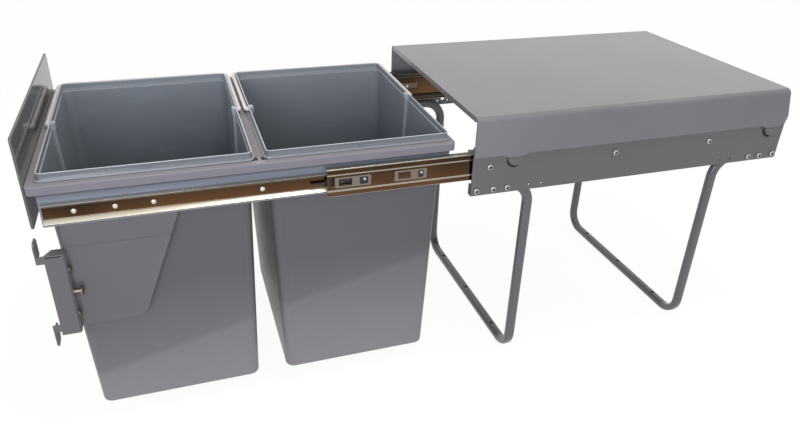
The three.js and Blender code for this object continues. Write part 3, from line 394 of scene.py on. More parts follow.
def bent_sweep(bm, corners, radii, outline, wide, steps):
    """Sweeps an outline of (wide, thin) pairs along straight runs joined by bends."""
    points = [Vector(c) for c in corners]
    wide = Vector(wide)
    stations = []

    def add(point, tangent):
        stations.append((point.copy(), wide.copy(), tangent.cross(wide)))

    add(points[0], (points[1] - points[0]).normalized())
    for i in range(1, len(points) - 1):
        before = (points[i] - points[i - 1]).normalized()
        after = (points[i + 1] - points[i]).normalized()
        angle = before.angle(after)
        axis = before.cross(after).normalized()
        radius = radii[i - 1]
        start = points[i] - before * radius * math.tan(angle / 2)
        inward = axis.cross(before)
        first = wide.copy()
        for step in range(steps + 1):
            turned = angle * step / steps
            point = start + before * radius * math.sin(turned) + inward * radius * (1 - math.cos(turned))
            turn = Matrix.Rotation(turned, 3, axis)
            wide = turn @ first
            add(point, turn @ before)
    add(points[-1], (points[-1] - points[-2]).normalized())
    skin(bm, [[p + w * a + t * b for a, b in outline] for p, w, t in stations])


def circle(radius, sides):
    angles = [2 * math.pi * i / sides for i in range(sides)]
    return [(radius * math.cos(a), radius * math.sin(a)) for a in angles]


# -------- materials


LOOKS = {}  # each look's material, by name


class Tree:
    """The shader nodes of a material or world."""

    def __init__(self, owner):
        owner.use_nodes = True
        self.nodes = owner.node_tree.nodes
        self.links = owner.node_tree.links

    def feed(self, node, inputs):
        """Sets each of a node's inputs to a value, or links it to another node's output."""
        for socket, value in inputs.items():
            if isinstance(value, bpy.types.NodeSocket):
                self.links.new(value, node.inputs[socket])
            else:
                node.inputs[socket].default_value = value

    def node(self, kind, inputs, **settings):
        made = self.nodes.new("ShaderNode" + kind)
        for name, value in settings.items():
            setattr(made, name, value)
        self.feed(made, inputs)
        return made

    def seen(self):
        """1 for camera, glossy and transmission rays, else 0."""
        path = self.node("LightPath", {}).outputs
        total = path["Is Camera Ray"]
        for kind in ("Is Glossy Ray", "Is Transmission Ray"):
            total = self.node("Math", {0: total, 1: path[kind]}, operation="MAXIMUM").outputs[0]
        return total


class Look(Tree):
    """A principled material, with short ways to vary it over the surface."""

    def __init__(self, name, color, roughness, metallic=0.0, **sockets):
        LOOKS[name] = bpy.data.materials.new(name)
        super().__init__(LOOKS[name])
        self.shader = self.nodes["Principled BSDF"]
        self.feed(self.shader, {"Base Color": (*color, 1), "Roughness": roughness, "Metallic": metallic})
        for socket, value in sockets.items():
            self.set(socket.replace("_", " ").title().replace("Ior", "IOR"), value)
        self.bump_from = None

    def set(self, socket, value):
        """Gives the surface a value, or another node's output."""
        self.feed(self.shader, {socket: value})

    def place(self, stretch=(1, 1, 1)):
        """Places on the piece at rest, in metres, each times its stretch."""
        place = self.node("TexCoord", {}).outputs["Object"]
        return self.node("Mapping", {"Vector": place, "Scale": stretch}).outputs["Vector"]

    def noise(self, scale, stretch=(1, 1, 1), detail=3, roughness=0.5):
        """A soft random pattern, 0 to 1. A stretch under 1 draws it out along that axis."""
        inputs = {"Vector": self.place(stretch), "Scale": scale, "Detail": detail, "Roughness": roughness}
        return self.node("TexNoise", inputs).outputs["Fac"]

    def facing(self, axis):
        """How far the surface faces along an axis: 0 to 1, whichever way round."""
        normal = self.node("NewGeometry", {}).outputs["Normal"]
        part = self.node("SeparateXYZ", {"Vector": normal}).outputs[axis]
        return self.node("Math", {0: part}, operation="ABSOLUTE").outputs[0]

    def height(self, low, high, slope=0):
        """0 at the height low and 1 at high, on the piece at rest, both rising by slope along Y."""
        parts = self.node("SeparateXYZ", {"Vector": self.place()}).outputs
        inputs = {0: parts["Y"], 1: -slope, 2: parts["Z"]}
        sloped = self.node("Math", inputs, operation="MULTIPLY_ADD").outputs[0]
        return self.range(sloped, low * MM, high * MM, 0, 1)

    def light_by_height(self, base, height_light):
        """base, painted darker or lighter by height, as shade and light.

        Each step is the height where its share of the colour holds, the height where the colour is
        whole, their slope along Y and the share. A ramp holds no number over 1, so the share is halved in
        it, and the result doubled.
        """
        for start, whole, slope, share in height_light:
            kept = self.ramp(self.height(start, whole, slope), 0, 1, shade(share, 0.5), (0.5, 0.5, 0.5))
            halved = self.blend("MULTIPLY", 1, base, kept)
            base = self.blend("ADD", 1, halved, halved)
        return base

    def ramp(self, factor, low, high, a, b):
        """Two colours, blended as factor goes from low to high."""
        ramp = self.node("ValToRGB", {"Fac": factor})
        first, second = ramp.color_ramp.elements
        first.position, first.color = low, (*a, 1)
        second.position, second.color = high, (*b, 1)
        return ramp.outputs["Color"]

    def blend(self, kind, amount, a, b):
        """Colour b laid over colour a, as far as amount says."""
        inputs = {"Factor": amount, "A": a, "B": b}
        return self.node("Mix", inputs, data_type="RGBA", blend_type=kind).outputs["Result"]

    def pick(self, factor, a, b):
        """Number a where factor is 0, and b where it is 1."""
        return self.node("Mix", {"Factor": factor, "A": a, "B": b}).outputs["Result"]

    def range(self, factor, low, high, a, b):
        """A number that goes from a to b as factor goes from low to high."""
        inputs = {"Value": factor, "From Min": low, "From Max": high, "To Min": a, "To Max": b}
        return self.node("MapRange", inputs).outputs["Result"]

    def shine(self, factor, low, high):
        """Roughness from low to high as factor goes from 0 to 1."""
        self.set("Roughness", self.range(factor, 0, 1, low, high))

    def relief(self, factor, depth, strength=1.0):
        """A bump of the given depth in millimetres, added to any made before."""
        inputs = {"Height": factor, "Distance": depth * MM, "Strength": strength}
        if self.bump_from is not None:
            inputs["Normal"] = self.bump_from
        self.bump_from = self.node("Bump", inputs).outputs["Normal"]
        self.set("Normal", self.bump_from)


def shade(color, share):
    """A colour times a number."""
    return tuple(channel * share for channel in color)


def powder_coat(name, color, roughness, coat=0.35, specular=0.5, peel=0.012, height_light=()):
    """Baked powder paint: even colour, a fine orange-peel skin and softly varying gloss."""
    look = Look(name, color, roughness, coat_weight=coat, coat_roughness=0.1, specular_ior_level=specular)
    patches = look.noise(7, detail=2)
    specks = look.noise(900, detail=1)
    cloudy = look.ramp(patches, 0.3, 0.7, shade(color, 0.93), shade(color, 1.06))
    speckled = look.ramp(specks, 0.35, 0.65, shade(color, 0.94), shade(color, 1.05))
    look.set("Base Color", look.light_by_height(look.blend("MIX", 0.35, cloudy, speckled), height_light))
    look.shine(look.noise(26, detail=3), roughness * 0.85, roughness * 1.2)
    look.relief(look.noise(420, detail=2), peel, 0.3)
    look.relief(look.noise(6, detail=0), 0.2, 0.08)


def moulded_plastic(name, color, roughness, specular=0.5, scuffs=0.08, height_light=()):
    """Injection-moulded plastic: fine grain and drag marks."""
    look = Look(name, color, roughness, specular_ior_level=specular)
    cloudy = look.noise(5, (1, 1, 0.35), detail=1)
    base = look.light_by_height(look.ramp(cloudy, 0.3, 0.72, shade(color, 0.97), shade(color, 1.03)), height_light)
    marks = look.noise(50, (1, 0.14, 1), detail=5, roughness=0.7)
    marked = look.ramp(marks, 0.58, 0.74, color, shade(color, 2.2))
    look.set("Base Color", look.blend("MIX", scuffs, base, marked))
    look.shine(look.noise(30, (1, 0.3, 1), detail=3), roughness * 0.85, roughness * 1.2)
    look.relief(look.noise(1600, detail=1), 0.02, 0.25)
    look.relief(look.noise(9, detail=0), 0.4, 0.06)


def zinc_plate(name, bright, height_light=()):
    """Bright zinc: pale on the level faces of tracks and folds, while upright faces carry a painted
    reflection, dark to warm brown, browner lower down and in long patches along the slide.
    """
    look = Look(name, bright, 0.16, metallic=1.0)
    drawn = look.noise(160, (1, 0.012, 1), detail=4, roughness=0.6)
    # painted reflection: it varies in long patches along the slide and grows below the slide's middle
    along = look.range(look.noise(11, (0.1, 1, 0.1), detail=1), 0.35, 0.65, 0, 1)
    lower = look.height(SLIDE_Z + WEB_REFLECTION_REACH, SLIDE_Z - WEB_REFLECTION_REACH)
    reflection_share = look.pick(along, look.range(lower, 0, 1, 0, 0.45), look.range(lower, 0, 1, 0.4, 1))
    tone = look.ramp(reflection_share, 0, 1, ZINC_REFLECTION_DARK, ZINC_REFLECTION_BROWN)
    streaks = look.light_by_height(look.ramp(drawn, 0.25, 0.75, shade(bright, 0.8), bright), height_light)
    upright = look.range(look.facing("X"), 0.93, 0.99, 0, 1)
    darker = look.blend("MULTIPLY", 0.35, tone, streaks)
    look.set("Base Color", look.blend("MIX", upright, streaks, darker))
    look.set("Metallic", look.range(upright, 0, 1, 0.6, 1))
    gloss = look.noise(30, (1, 0.1, 1), detail=3)
    mirror = look.range(gloss, 0, 1, 0.1, 0.22)
    satin = look.range(gloss, 0, 1, 0.2, 0.32)
    look.set("Roughness", look.pick(upright, satin, mirror))
    look.relief(drawn, 0.02, 0.3)


def stamped_steel(name, pale, dark):
    """The inner cages' steel, pale and dark in patches, a painted reflection of light and dark surroundings
    in a mirror-bright stamping.
    """
    look = Look(name, pale, 0.18, metallic=1.0)
    look.set("Base Color", look.ramp(look.noise(85, (0.3, 1, 1), detail=0), 0.47, 0.53, dark, pale))
    look.relief(look.noise(300, detail=1), 0.05, 0.4)


def plated(name, color, roughness):
    """Small bright-plated fasteners, with faint turning marks and tarnish in patches."""
    look = Look(name, color, roughness, metallic=1.0)
    tarnish = look.noise(380, detail=3)
    look.set("Base Color", look.ramp(tarnish, 0.3, 0.75, shade(color, 0.72), color))
    look.shine(tarnish, roughness * 0.8, roughness * 1.6)
    look.relief(look.noise(1500, detail=1), 0.01, 0.3)


def gloss_lacquer(name, color):
    """The panel's high-gloss face, with faint waves and wiping marks."""
    look = Look(name, color, 0.07, specular_ior_level=0.24, coat_weight=0.06, coat_roughness=0.03)
    waves = look.noise(8, detail=1)
    look.set("Base Color", look.ramp(waves, 0.3, 0.7, shade(color, 0.94), shade(color, 1.05)))
    look.shine(look.noise(70, (1, 1, 0.3), detail=4), 0.05, 0.12)
    look.relief(waves, 0.3, 0.08)


SLIDE_Z = sum(corner.z for corner in span("slide_cabinet_member_right")) / 2
WEB_REFLECTION_REACH = 14  # the painted brown reflection on upright zinc grows from this far above the slide's middle to as far below it
# the dark end and the brown end of the painted reflection on upright zinc faces
ZINC_REFLECTION_DARK = (0.026, 0.018, 0.013)
ZINC_REFLECTION_BROWN = (0.16, 0.08, 0.04)

powder_coat("lid_paint", (0.243, 0.23, 0.247), 0.24, coat=0.2, specular=0.4, peel=0.002)
powder_coat("plate_paint", (0.15, 0.136, 0.144), 0.36, peel=0.004)
powder_coat("tube_paint", (0.14, 0.133, 0.145), 0.26)
# the rail's top 3 mm are painted dark as the collar's shadow, and its lower part is painted lighter as a
# highlight
powder_coat(
    "rail_paint", (0.16, 0.175, 0.22), 0.2,
    height_light=[(342, 339, 0, (0.25, 0.25, 0.27)), (333, 342, 0, (1.7, 1.68, 1.6))],
)
# the drawer member's zinc is painted darker and bluer towards its top, as shade
zinc_plate("zinc_steel", (0.88, 0.82, 0.66), height_light=[(328, 314, 0, (0.5, 0.51, 0.55))])
zinc_plate("zinc_race", (0.52, 0.51, 0.44))
plated("zinc_satin", (0.27, 0.23, 0.2), 0.3)
plated("zinc_bright", (0.75, 0.74, 0.7), 0.25)
stamped_steel("cage_steel", (0.5, 0.56, 0.55), (0.02, 0.022, 0.022))
plated("bright_screw", (0.52, 0.51, 0.5), 0.18)
plated("yellow_screw", (0.24, 0.205, 0.15), 0.24)
plated("dark_screw", (0.17, 0.155, 0.135), 0.25)
# near-black painted shade, for screw recesses, the grooves under the scoops, the bracket's seam and the
# stop pocket's walls
plated("recess_steel", (0.05, 0.048, 0.047), 0.4)
plated("pocket_steel", (0.26, 0.2, 0.145), 0.45)
moulded_plastic("black_plastic", (0.012, 0.012, 0.014), 0.42)
# the collar's top face is painted lighter, as light from above
moulded_plastic("collar_plastic", (0.235, 0.223, 0.255), 0.3, height_light=[(355.8, 354, 0, (1.45, 1.43, 1.36))])
gloss_lacquer("panel_gloss", (0.165, 0.153, 0.15))
# the bin's outside is painted lighter towards its foot and again below a sloped line, a painted reflection
moulded_plastic(
    "bin_plastic", (0.157, 0.147, 0.152), 0.38, specular=0.25, scuffs=0.02,
    height_light=[(20, 205, 0, (1.82, 1.82, 1.8)), (189, 202, 0.26, (1.24, 1.25, 1.26))],
)
# the inside is a lighter, bluer copy of the same plastic, painted light, and is painted darker towards its
# floor as shade
moulded_plastic("bin_inside", (0.3, 0.325, 0.36), 0.2, scuffs=0.16, height_light=[(200, 355, 0, (0.5, 0.51, 0.52))])
# lighter copies of the same plastic, painted light: the rim band, the ledge, the ribs and bosses, and
# brightest, as a painted highlight, the rim's top edge
moulded_plastic("bin_rim", (0.2, 0.214, 0.23), 0.2)
moulded_plastic("bin_ledge", (0.34, 0.36, 0.38), 0.2)
moulded_plastic("bin_edge", (0.62, 0.66, 0.7), 0.2)
moulded_plastic("bin_rib", (0.46, 0.52, 0.56), 0.24)
moulded_plastic("handle_plastic", (0.9, 0.885, 0.86), 0.26)

NODE_SLOT = {part["node"]: part["material_slot"] for part in frame["record"]["subparts"]}
BODIES = frame["record"]["behaviour"]["bodies"]
NODE_BODY = {node: body for body, members in BODIES.items() for node in members}


def dress(obj, node, look=None):
    """Gives a piece a look if it has none yet, and lets it stand for its node."""
    slot = NODE_SLOT[node]
    if not any(obj.data.materials):
        obj.data.materials.clear()
        obj.data.materials.append(LOOKS[look or slot])
    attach(obj, NODE_BODY[node])
    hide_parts(node)
    return obj


# -------- folded sheet pieces

WELD = 0.002  # points nearer than this are one
FLAT = 1  # faces that turn by fewer degrees are one


def folded(node, edge, look=None, over=50, segments=2):
    """A node's own shape with its cut edges rounded."""
    bm = bmesh.new()
    bm.from_mesh(frame["nodes"][node].data)
    bmesh.ops.scale(bm, vec=(1 / MM,) * 3, verts=bm.verts)
    bmesh.ops.remove_doubles(bm, verts=bm.verts, dist=WELD)
    bmesh.ops.dissolve_limit(bm, angle_limit=math.radians(FLAT), verts=bm.verts, edges=bm.edges)
    round_edges(bm, edge, over, segments)
    obj = even_shading(new_object(f"{node}_fine", bm, sharp=38))
    return dress(obj, node, look)


def cut_scoop_shadows(obj, side):
    """A dark groove under each scoop, painted shade for the shadow the scoop casts, and the left plate's
    open hole.
    """
    face_x = span("slide_screw_1_right")[1].x - HEAD_HEIGHT
    low, high = span("side_plate_right")
    top_z = span("cover_lid")[0].z + TAB_REACH

    def arc(y, wide, deep):
        angles = [math.radians(degrees) for degrees in SCOOP_SHADOW_ARC]
        return [(y + wide * math.cos(a), top_z + deep * math.sin(a)) for a in angles]

    tools = []
    xs = sorted((side * (face_x - SCOOP_SHADOW_DEPTH), side * (face_x + SKIM)))
    for y in (low.y + PLATE_STOP_TAB + SCOOP_FRONT, high.y - SCOOP_REAR):
        upper = arc(y, SCOOP_HALF_WIDTH, SCOOP_DEPTH)
        lower = arc(y, SCOOP_HALF_WIDTH + SCOOP_SHADOW_WIDER, SCOOP_DEPTH + SCOOP_SHADOW_DROP)
        # each groove is painted shade, the shadow under its scoop
        tools.append(tool(prism, upper + lower[::-1], along_x, *xs, look="recess_steel"))
    if side < 0:
        start = (side * (face_x - HOUSING_SHEET), low.y + TIE_HOLE_FRONT, low.z + TIE_HOLE_UP)
        bore = rod(TIE_HOLE, -OVERCUT, HOUSING_SHEET + OVERCUT)
        tools.append(tool(lathe, bore, start, (side, 0, 0), 24, look="plate_paint"))
    return even_shading(combine(obj, cut=tools, sharp=30))


def crease_wing(obj, node, side):
    """The bend line across the wing, level with the door bracket's top."""
    low, high = span(node)
    z = span("door_bracket_right")[1].z - UPPER_EAR_ABOVE
    face_x = side * (span("wing_plate_right")[0].x + WING_STEEL)
    open_x, foot_x = face_x + side * SKIM, face_x - side * CREASE_DEPTH
    outline = [(open_x, z + CREASE_RISE), (foot_x, z + CREASE_FOOT), (open_x, z - SKIM)]
    groove = tool(prism, outline, along_y, low.y - OVERCUT, high.y + OVERCUT)
    return even_shading(combine(obj, cut=[groove], sharp=8))


def slit_bracket(obj, node, side):
    """The open seam between the bracket's side and its top plate, painted dark inside as shade."""
    low, high = span(node)
    ear_z = high.z - UPPER_EAR_ABOVE
    front_y, rear_y = low.y + EAR_REACH + SEAM_ENDS[0], high.y - SEAM_ENDS[1]
    face_x = side * (high.x if side > 0 else -low.x)
    xs = sorted((face_x - side * BRACKET_SHEET * SEAM_DEPTH, face_x + side * SKIM))
    seam = rectangle(front_y, rear_y, *(ear_z + height for height in SEAM))
    return even_shading(combine(obj, cut=[tool(prism, seam, along_x, *xs, look="recess_steel")], sharp=38))


def folded_pieces():
    """Every piece that is a folded or cut sheet."""
    folded("cover_lid", 0.7, over=40, segments=3)
    folded("front_panel", 1.1, over=40, segments=4)
    folded("collar_frame", 0.7, over=40)
    for name, side in SIDES.items():
        cut_scoop_shadows(folded(f"side_plate_{name}", 0.35), side)
        folded(f"drawer_rail_{name}", 0.35, look="rail_paint")
        wing, bracket = f"wing_plate_{name}", f"door_bracket_{name}"
        crease_wing(folded(wing, 0.3), wing, side)
        slit_bracket(folded(bracket, 0.45), bracket, side)


# -------- hoops


def hoop_leg(node, forward):
    """A bent flat-oval tube with holes for floor screws, and arms that point forward (1) or back (-1)."""
    low, high = span(node)
    start_y, bend_y = (low.y, high.y) if forward > 0 else (high.y, low.y)
    w, t = TUBE_WIDE / 2, TUBE_THIN / 2
    leg_y = bend_y - w * forward
    top_z, half_x = high.z - w, high.x - t
    half_path = [(half_x, start_y, top_z), (half_x, leg_y, top_z), (half_x, leg_y, t)]
    corners = half_path + [(-x, y, z) for x, y, z in reversed(half_path)]
    outline = fillet(rectangle(-w, w, -t, t), TUBE_EDGE, 5)
    bm = bmesh.new()
    bent_sweep(bm, corners, [HOOP_BEND] * 4, outline, (0, 0, 1), 14)
    obj = new_object(f"{node}_fine", bm, sharp=50)
    hole = rod(FLOOR_SCREW_HOLE, -OVERCUT, TUBE_THIN + OVERCUT)
    places = [(x * FLOOR_SCREW_SPACING, leg_y, 0) for x in (-1, 0, 1)]
    combine(obj, cut=[tool(lathe, hole, place, (0, 0, 1), 24) for place in places])
    return dress(even_shading(obj), node)


# -------- slides


def slide_size(node, side):
    """A slide piece's inner and outer distance from the middle plane, its middle height and half height."""
    low, high = span(node)
    near, far = (low.x, high.x) if side > 0 else (-high.x, -low.x)
    return near, far, (low.z + high.z) / 2, (high.z - low.z) / 2


def channel(web_x, tip_x, half):
    """The lower corners of a channel whose web is at web_x and whose lips reach to tip_x."""
    race = half - SLIDE_STEEL
    return [
        (web_x, half, SLIDE_BEND), (tip_x, half, LIP_EDGE),
        (tip_x, race, LIP_EDGE), (web_x - SLIDE_STEEL, race, LIP_EDGE),
    ]


def rolled(node, side, corners):
    """A slide member's mesh, rolled to one outline.

    A corner is its distance from the middle plane, its depth below the slide's middle and its radius. Each
    comes again above the middle.
    """
    low, high = span(node)
    slide_z = (low.z + high.z) / 2
    lower = [(side * x, slide_z - depth) for x, depth, radius in corners]
    upper = [(side * x, slide_z + depth) for x, depth, radius in corners]
    radii = [radius for x, depth, radius in corners]
    bm = bmesh.new()
    prism(bm, fillet(lower + upper[::-1], radii + radii[::-1], 4), along_y, low.y, high.y)
    return bm


def cabinet_member(node, side):
    """A channel with rounded bends, whose lips stop just short of the drawer rail's path."""
    near, far, _, half = slide_size(node, side)
    bm = rolled(node, side, channel(far, near + LIP_CLEARANCE, half))
    return dress(even_shading(new_object(f"{node}_fine", bm)), node)


def middle_member(node, side):
    """The channel between the other two. Its web sinks between its tracks and has windows and a slot."""
    front_y = span(node)[0].y
    near, far, slide_z, half = slide_size(node, side)
    inner, sunk = far - SLIDE_STEEL, far - WEB_SINK
    web = [(sunk, WEB_HALF, WEB_BEND), (far, WEB_HALF + WEB_STEP, WEB_BEND)]
    bm = rolled(node, side, web + channel(far, near, half))
    obj = new_object(f"{node}_fine", bm, looks=["zinc_race"])

    def field(start, end, half_z, x0, x1, radius, look):
        """A rounded rectangle on the web, from x0 to x1."""
        corners = rectangle(front_y + start, front_y + end, slide_z - half_z, slide_z + half_z)
        xs = sorted((side * x0, side * x1))
        return tool(prism, fillet(corners, radius, 4), along_x, *xs, look=look)

    def stud(profile, x, along, up, facing):
        place = (side * x, front_y + along, slide_z + up)
        return tool(lathe, profile, place, (facing * side, 0, 0), 20, look="zinc_bright")

    # the pressed fields round the windows stand a little proud of the web
    frame_half = WINDOW_HALF + FRAME_MARGIN
    frames = [
        field(start, end, frame_half, sunk - FRAME_ROOT, sunk + FRAME_RISE, FRAME_CORNER, "zinc_satin")
        for start, end in WINDOW_FRAMES
    ]
    # the black window floors are painted shade
    cuts = [
        field(start, end, WINDOW_HALF, inner + floor_x, far + OVERCUT, WINDOW_CORNER, look)
        for start, end, floor_x, look in MIDDLE_WINDOWS
    ]
    slot = (*LATCH_SLOT, LATCH_SLOT_HALF, inner - OVERCUT, far + OVERCUT, LATCH_SLOT_CORNER)
    pocket_x = inner + STOP_POCKET_DEPTH
    pocket = (*STOP_POCKET, STOP_POCKET_HALF, inner - OVERCUT, pocket_x, STOP_POCKET_CORNER)
    # the stop pocket's walls are painted shade
    cuts += [field(*slot, "black_plastic"), field(*pocket, "recess_steel")]
    combine(obj, frames, cuts)

    # what stands in the cuts is joined after them: the pocket's raised middle and the studs
    start, end = STOP_POCKET
    along, across = PAD_MARGIN
    pad = (start + along, end - along, STOP_POCKET_HALF - across)
    inserts = [field(*pad, inner + PAD_SUNK, pocket_x + PAD_SUNK, PAD_CORNER, "pocket_steel")]
    inserts.append(stud(STOP_STUD, inner + STOP_STUD_SUNK, (start + end) / 2, 0, -1))
    rearward, up = WINDOW_STUD_OFF
    for start, end, floor_x, look in MIDDLE_WINDOWS:
        if look == "black_plastic":
            inserts.append(stud(WINDOW_STUD, inner + floor_x, (start + end) / 2 + rearward, up, 1))
    combine(obj, inserts)
    return dress(even_shading(obj), node)


def lever_pin_y(lever):
    low, high = span(lever)
    return high.y - (high.y - low.y) * LEVER_PIN


def drawer_member(node, side):
    """The channel on the drawer's rail, with crowned races, rivet heads and the release lever's pin."""
    front_y = span(node)[0].y
    web_x, tip_x, slide_z, half = slide_size(node, side)
    inner, race = web_x + SLIDE_STEEL, half - SLIDE_STEEL
    crown = race - RACE_CROWN
    bm = rolled(node, side, [
        (web_x, half, SLIDE_BEND), (tip_x, half, LIP_EDGE), (tip_x, race, RACE_EDGE),
        (inner + RACE_FOOT, crown, RACE_BEND), (inner, crown, 0.1),
    ])
    sheet = set(bm.faces)
    axis = (side, 0, 0)
    angles = quarter_turn(DOME_STEPS)[:-1]
    dome = [(RIVET_HEIGHT * math.sin(a), RIVET_RADIUS * math.cos(a)) for a in angles]
    for start in RIVETS:
        head = [(-RIVET_ROOT, RIVET_RADIUS), *dome, (RIVET_HEIGHT, TIP)]
        lathe(bm, head, (side * inner, front_y + start, slide_z), axis, 24)
    for rivet_face in set(bm.faces) - sheet:
        rivet_face.material_index = 1
    pin_y = lever_pin_y(f"release_lever_{'right' if side > 0 else 'left'}")
    pin = rod(SHANK_RADIUS, -0.5, tip_x - inner - PIN_SHORT)
    lathe(bm, pin, (side * inner, pin_y, slide_z), axis, 20)
    obj = new_object(f"{node}_fine", bm, looks=["zinc_steel", "zinc_bright"])
    return dress(even_shading(obj), node)


def release_lever(node):
    """A black lever with a long nose and a hook that catches the middle member's front edge."""
    low, high = span(node)
    slide_z = (low.z + high.z) / 2
    length = high.y - low.y
    half = (high.z - low.z) / 2
    stations = LEVER_NOSE + [(share, half * height, half * height) for share, height in LEVER_BODY]
    lower = [(low.y + length * share, slide_z - depth) for share, depth, height in stations]
    upper = [(low.y + length * share, slide_z + height) for share, depth, height in stations]
    bm = bmesh.new()
    prism(bm, fillet(lower + upper[::-1], 0.6, 3), along_x, low.x, high.x)
    round_edges(bm, 0.3, over=60)
    obj = new_object(f"{node}_fine", bm)
    bore = rod(SHANK_RADIUS + 0.3, -OVERCUT, high.x - low.x + OVERCUT)
    combine(obj, cut=[tool(lathe, bore, (low.x, lever_pin_y(node), slide_z), (1, 0, 0), 20)])
    return dress(obj, node)


# -------- screws


def recess_arm(bm, scale, turn):
    """One arm of a cross recess, narrower at its foot."""
    wide = RECESS_WIDTH * scale / 2
    rings = []
    foot_z = HEAD_HEIGHT - RECESS_DEPTH * scale
    for z, share in ((foot_z, RECESS_FOOT), (HEAD_HEIGHT + 0.5, RECESS_MOUTH)):
        reach = RECESS_REACH * scale * share
        rings.append([(x, y, z) for x, y in rectangle(-reach, reach, -wide, wide)])
    skin(bm, rings)
    bmesh.ops.rotate(bm, verts=bm.verts, matrix=Matrix.Rotation(turn, 3, "Z"))


def screw_mesh(shank_radius, head_radius, length, recess_scale=1.0, look="bright_screw"):
    """A pan-head screw along +Z: its head stands on z = 0, with a cross recess."""
    shoulder = HEAD_HEIGHT * HEAD_SHOULDER
    profile = [(-length, TIP), (-length, shank_radius), (0, shank_radius), (0, head_radius * 0.97)]
    for angle in quarter_turn(DOME_STEPS):
        radius = head_radius * (1 - HEAD_CROWN * (1 - math.cos(angle)))
        profile.append((shoulder + (HEAD_HEIGHT - shoulder) * math.sin(angle), radius))
    profile.append((HEAD_HEIGHT, TIP))
    obj = tool(lathe, profile, (0, 0, 0), (0, 0, 1), 32, look=look, sharp=40)
    # the cross recess is painted shade
    arms = [tool(recess_arm, recess_scale, turn, look="recess_steel") for turn in (0, math.pi / 2)]
    combine(obj, cut=arms)
    mesh = obj.data
    bpy.data.objects.remove(obj)
    return mesh


def place_screw(node, mesh, seat, axis, turn):
    """A screw whose head stands on seat and faces along axis, with its recess turned."""
    copy = mesh.copy()
    obj = add_object(f"{node}_fine", copy)
    aim = Vector(axis).to_track_quat("Z", "Y").to_matrix().to_4x4()
    where = Matrix.Translation(Vector(seat) * MM) @ aim @ Matrix.Rotation(turn, 4, "Z")
    copy.transform(where)
    return dress(obj, node)


def plate_screw_mesh(node):
    low, high = span(node)
    return screw_mesh(SHANK_RADIUS, HEAD_RADIUS, high.x - low.x - HEAD_HEIGHT)


def screws():
    """The screws in the side plates' outer faces, and those behind the door brackets."""
    long_mesh = plate_screw_mesh("front_hoop_screw_1_right")
    short_mesh = plate_screw_mesh("slide_screw_1_right")
    plate_nodes = sorted(node for node in frame["nodes"] if node.startswith(PLATE_SCREWS))
    for i, node in enumerate(plate_nodes):
        low, high = span(node)
        side = 1 if low.x > 0 else -1
        seat_x = high.x - HEAD_HEIGHT if side > 0 else low.x + HEAD_HEIGHT
        centre = (low + high) / 2
        mesh = short_mesh if node.startswith("slide") else long_mesh
        place_screw(node, mesh, (seat_x, centre.y, centre.z), (side, 0, 0), RECESS_TURN * i)
    for side in SIDES:
        for kind, (radius, head, scale, look) in DOOR_SCREWS.items():
            node = f"{kind}_{side}"
            low, high = span(node)
            centre = (low + high) / 2
            mesh = screw_mesh(radius, head, high.y - low.y - HEAD_HEIGHT, scale, look)
            seat = (centre.x, high.y - HEAD_HEIGHT, centre.z)
            place_screw(node, mesh, seat, (0, 1, 0), DOOR_SCREW_TURN)


# -------- bins and handles


def bin_size(node):
    """A bin's heights, and its half widths at the ledge, the rim, the wall's top and its foot."""
    low, high = span(node)
    at = SimpleNamespace(centre_y=(low.y + high.y) / 2)
    at.foot_z, at.ledge_z, at.rim_z = low.z, high.z - RIM_HEIGHT, high.z
    at.ledge_x, at.ledge_y = high.x, (high.y - low.y) / 2
    at.rim_x, at.rim_y = at.ledge_x - LEDGE_OVERHANG, at.ledge_y - LEDGE_END_OVERHANG
    at.top_x, at.top_y = at.rim_x - RIM_SIDE_STEP, at.rim_y - RIM_END_STEP
    at.foot_x, at.foot_y = at.top_x - BIN_SIDE_DRAFT, at.top_y - BIN_END_DRAFT
    at.ledge_top = at.ledge_z + LEDGE
    return at


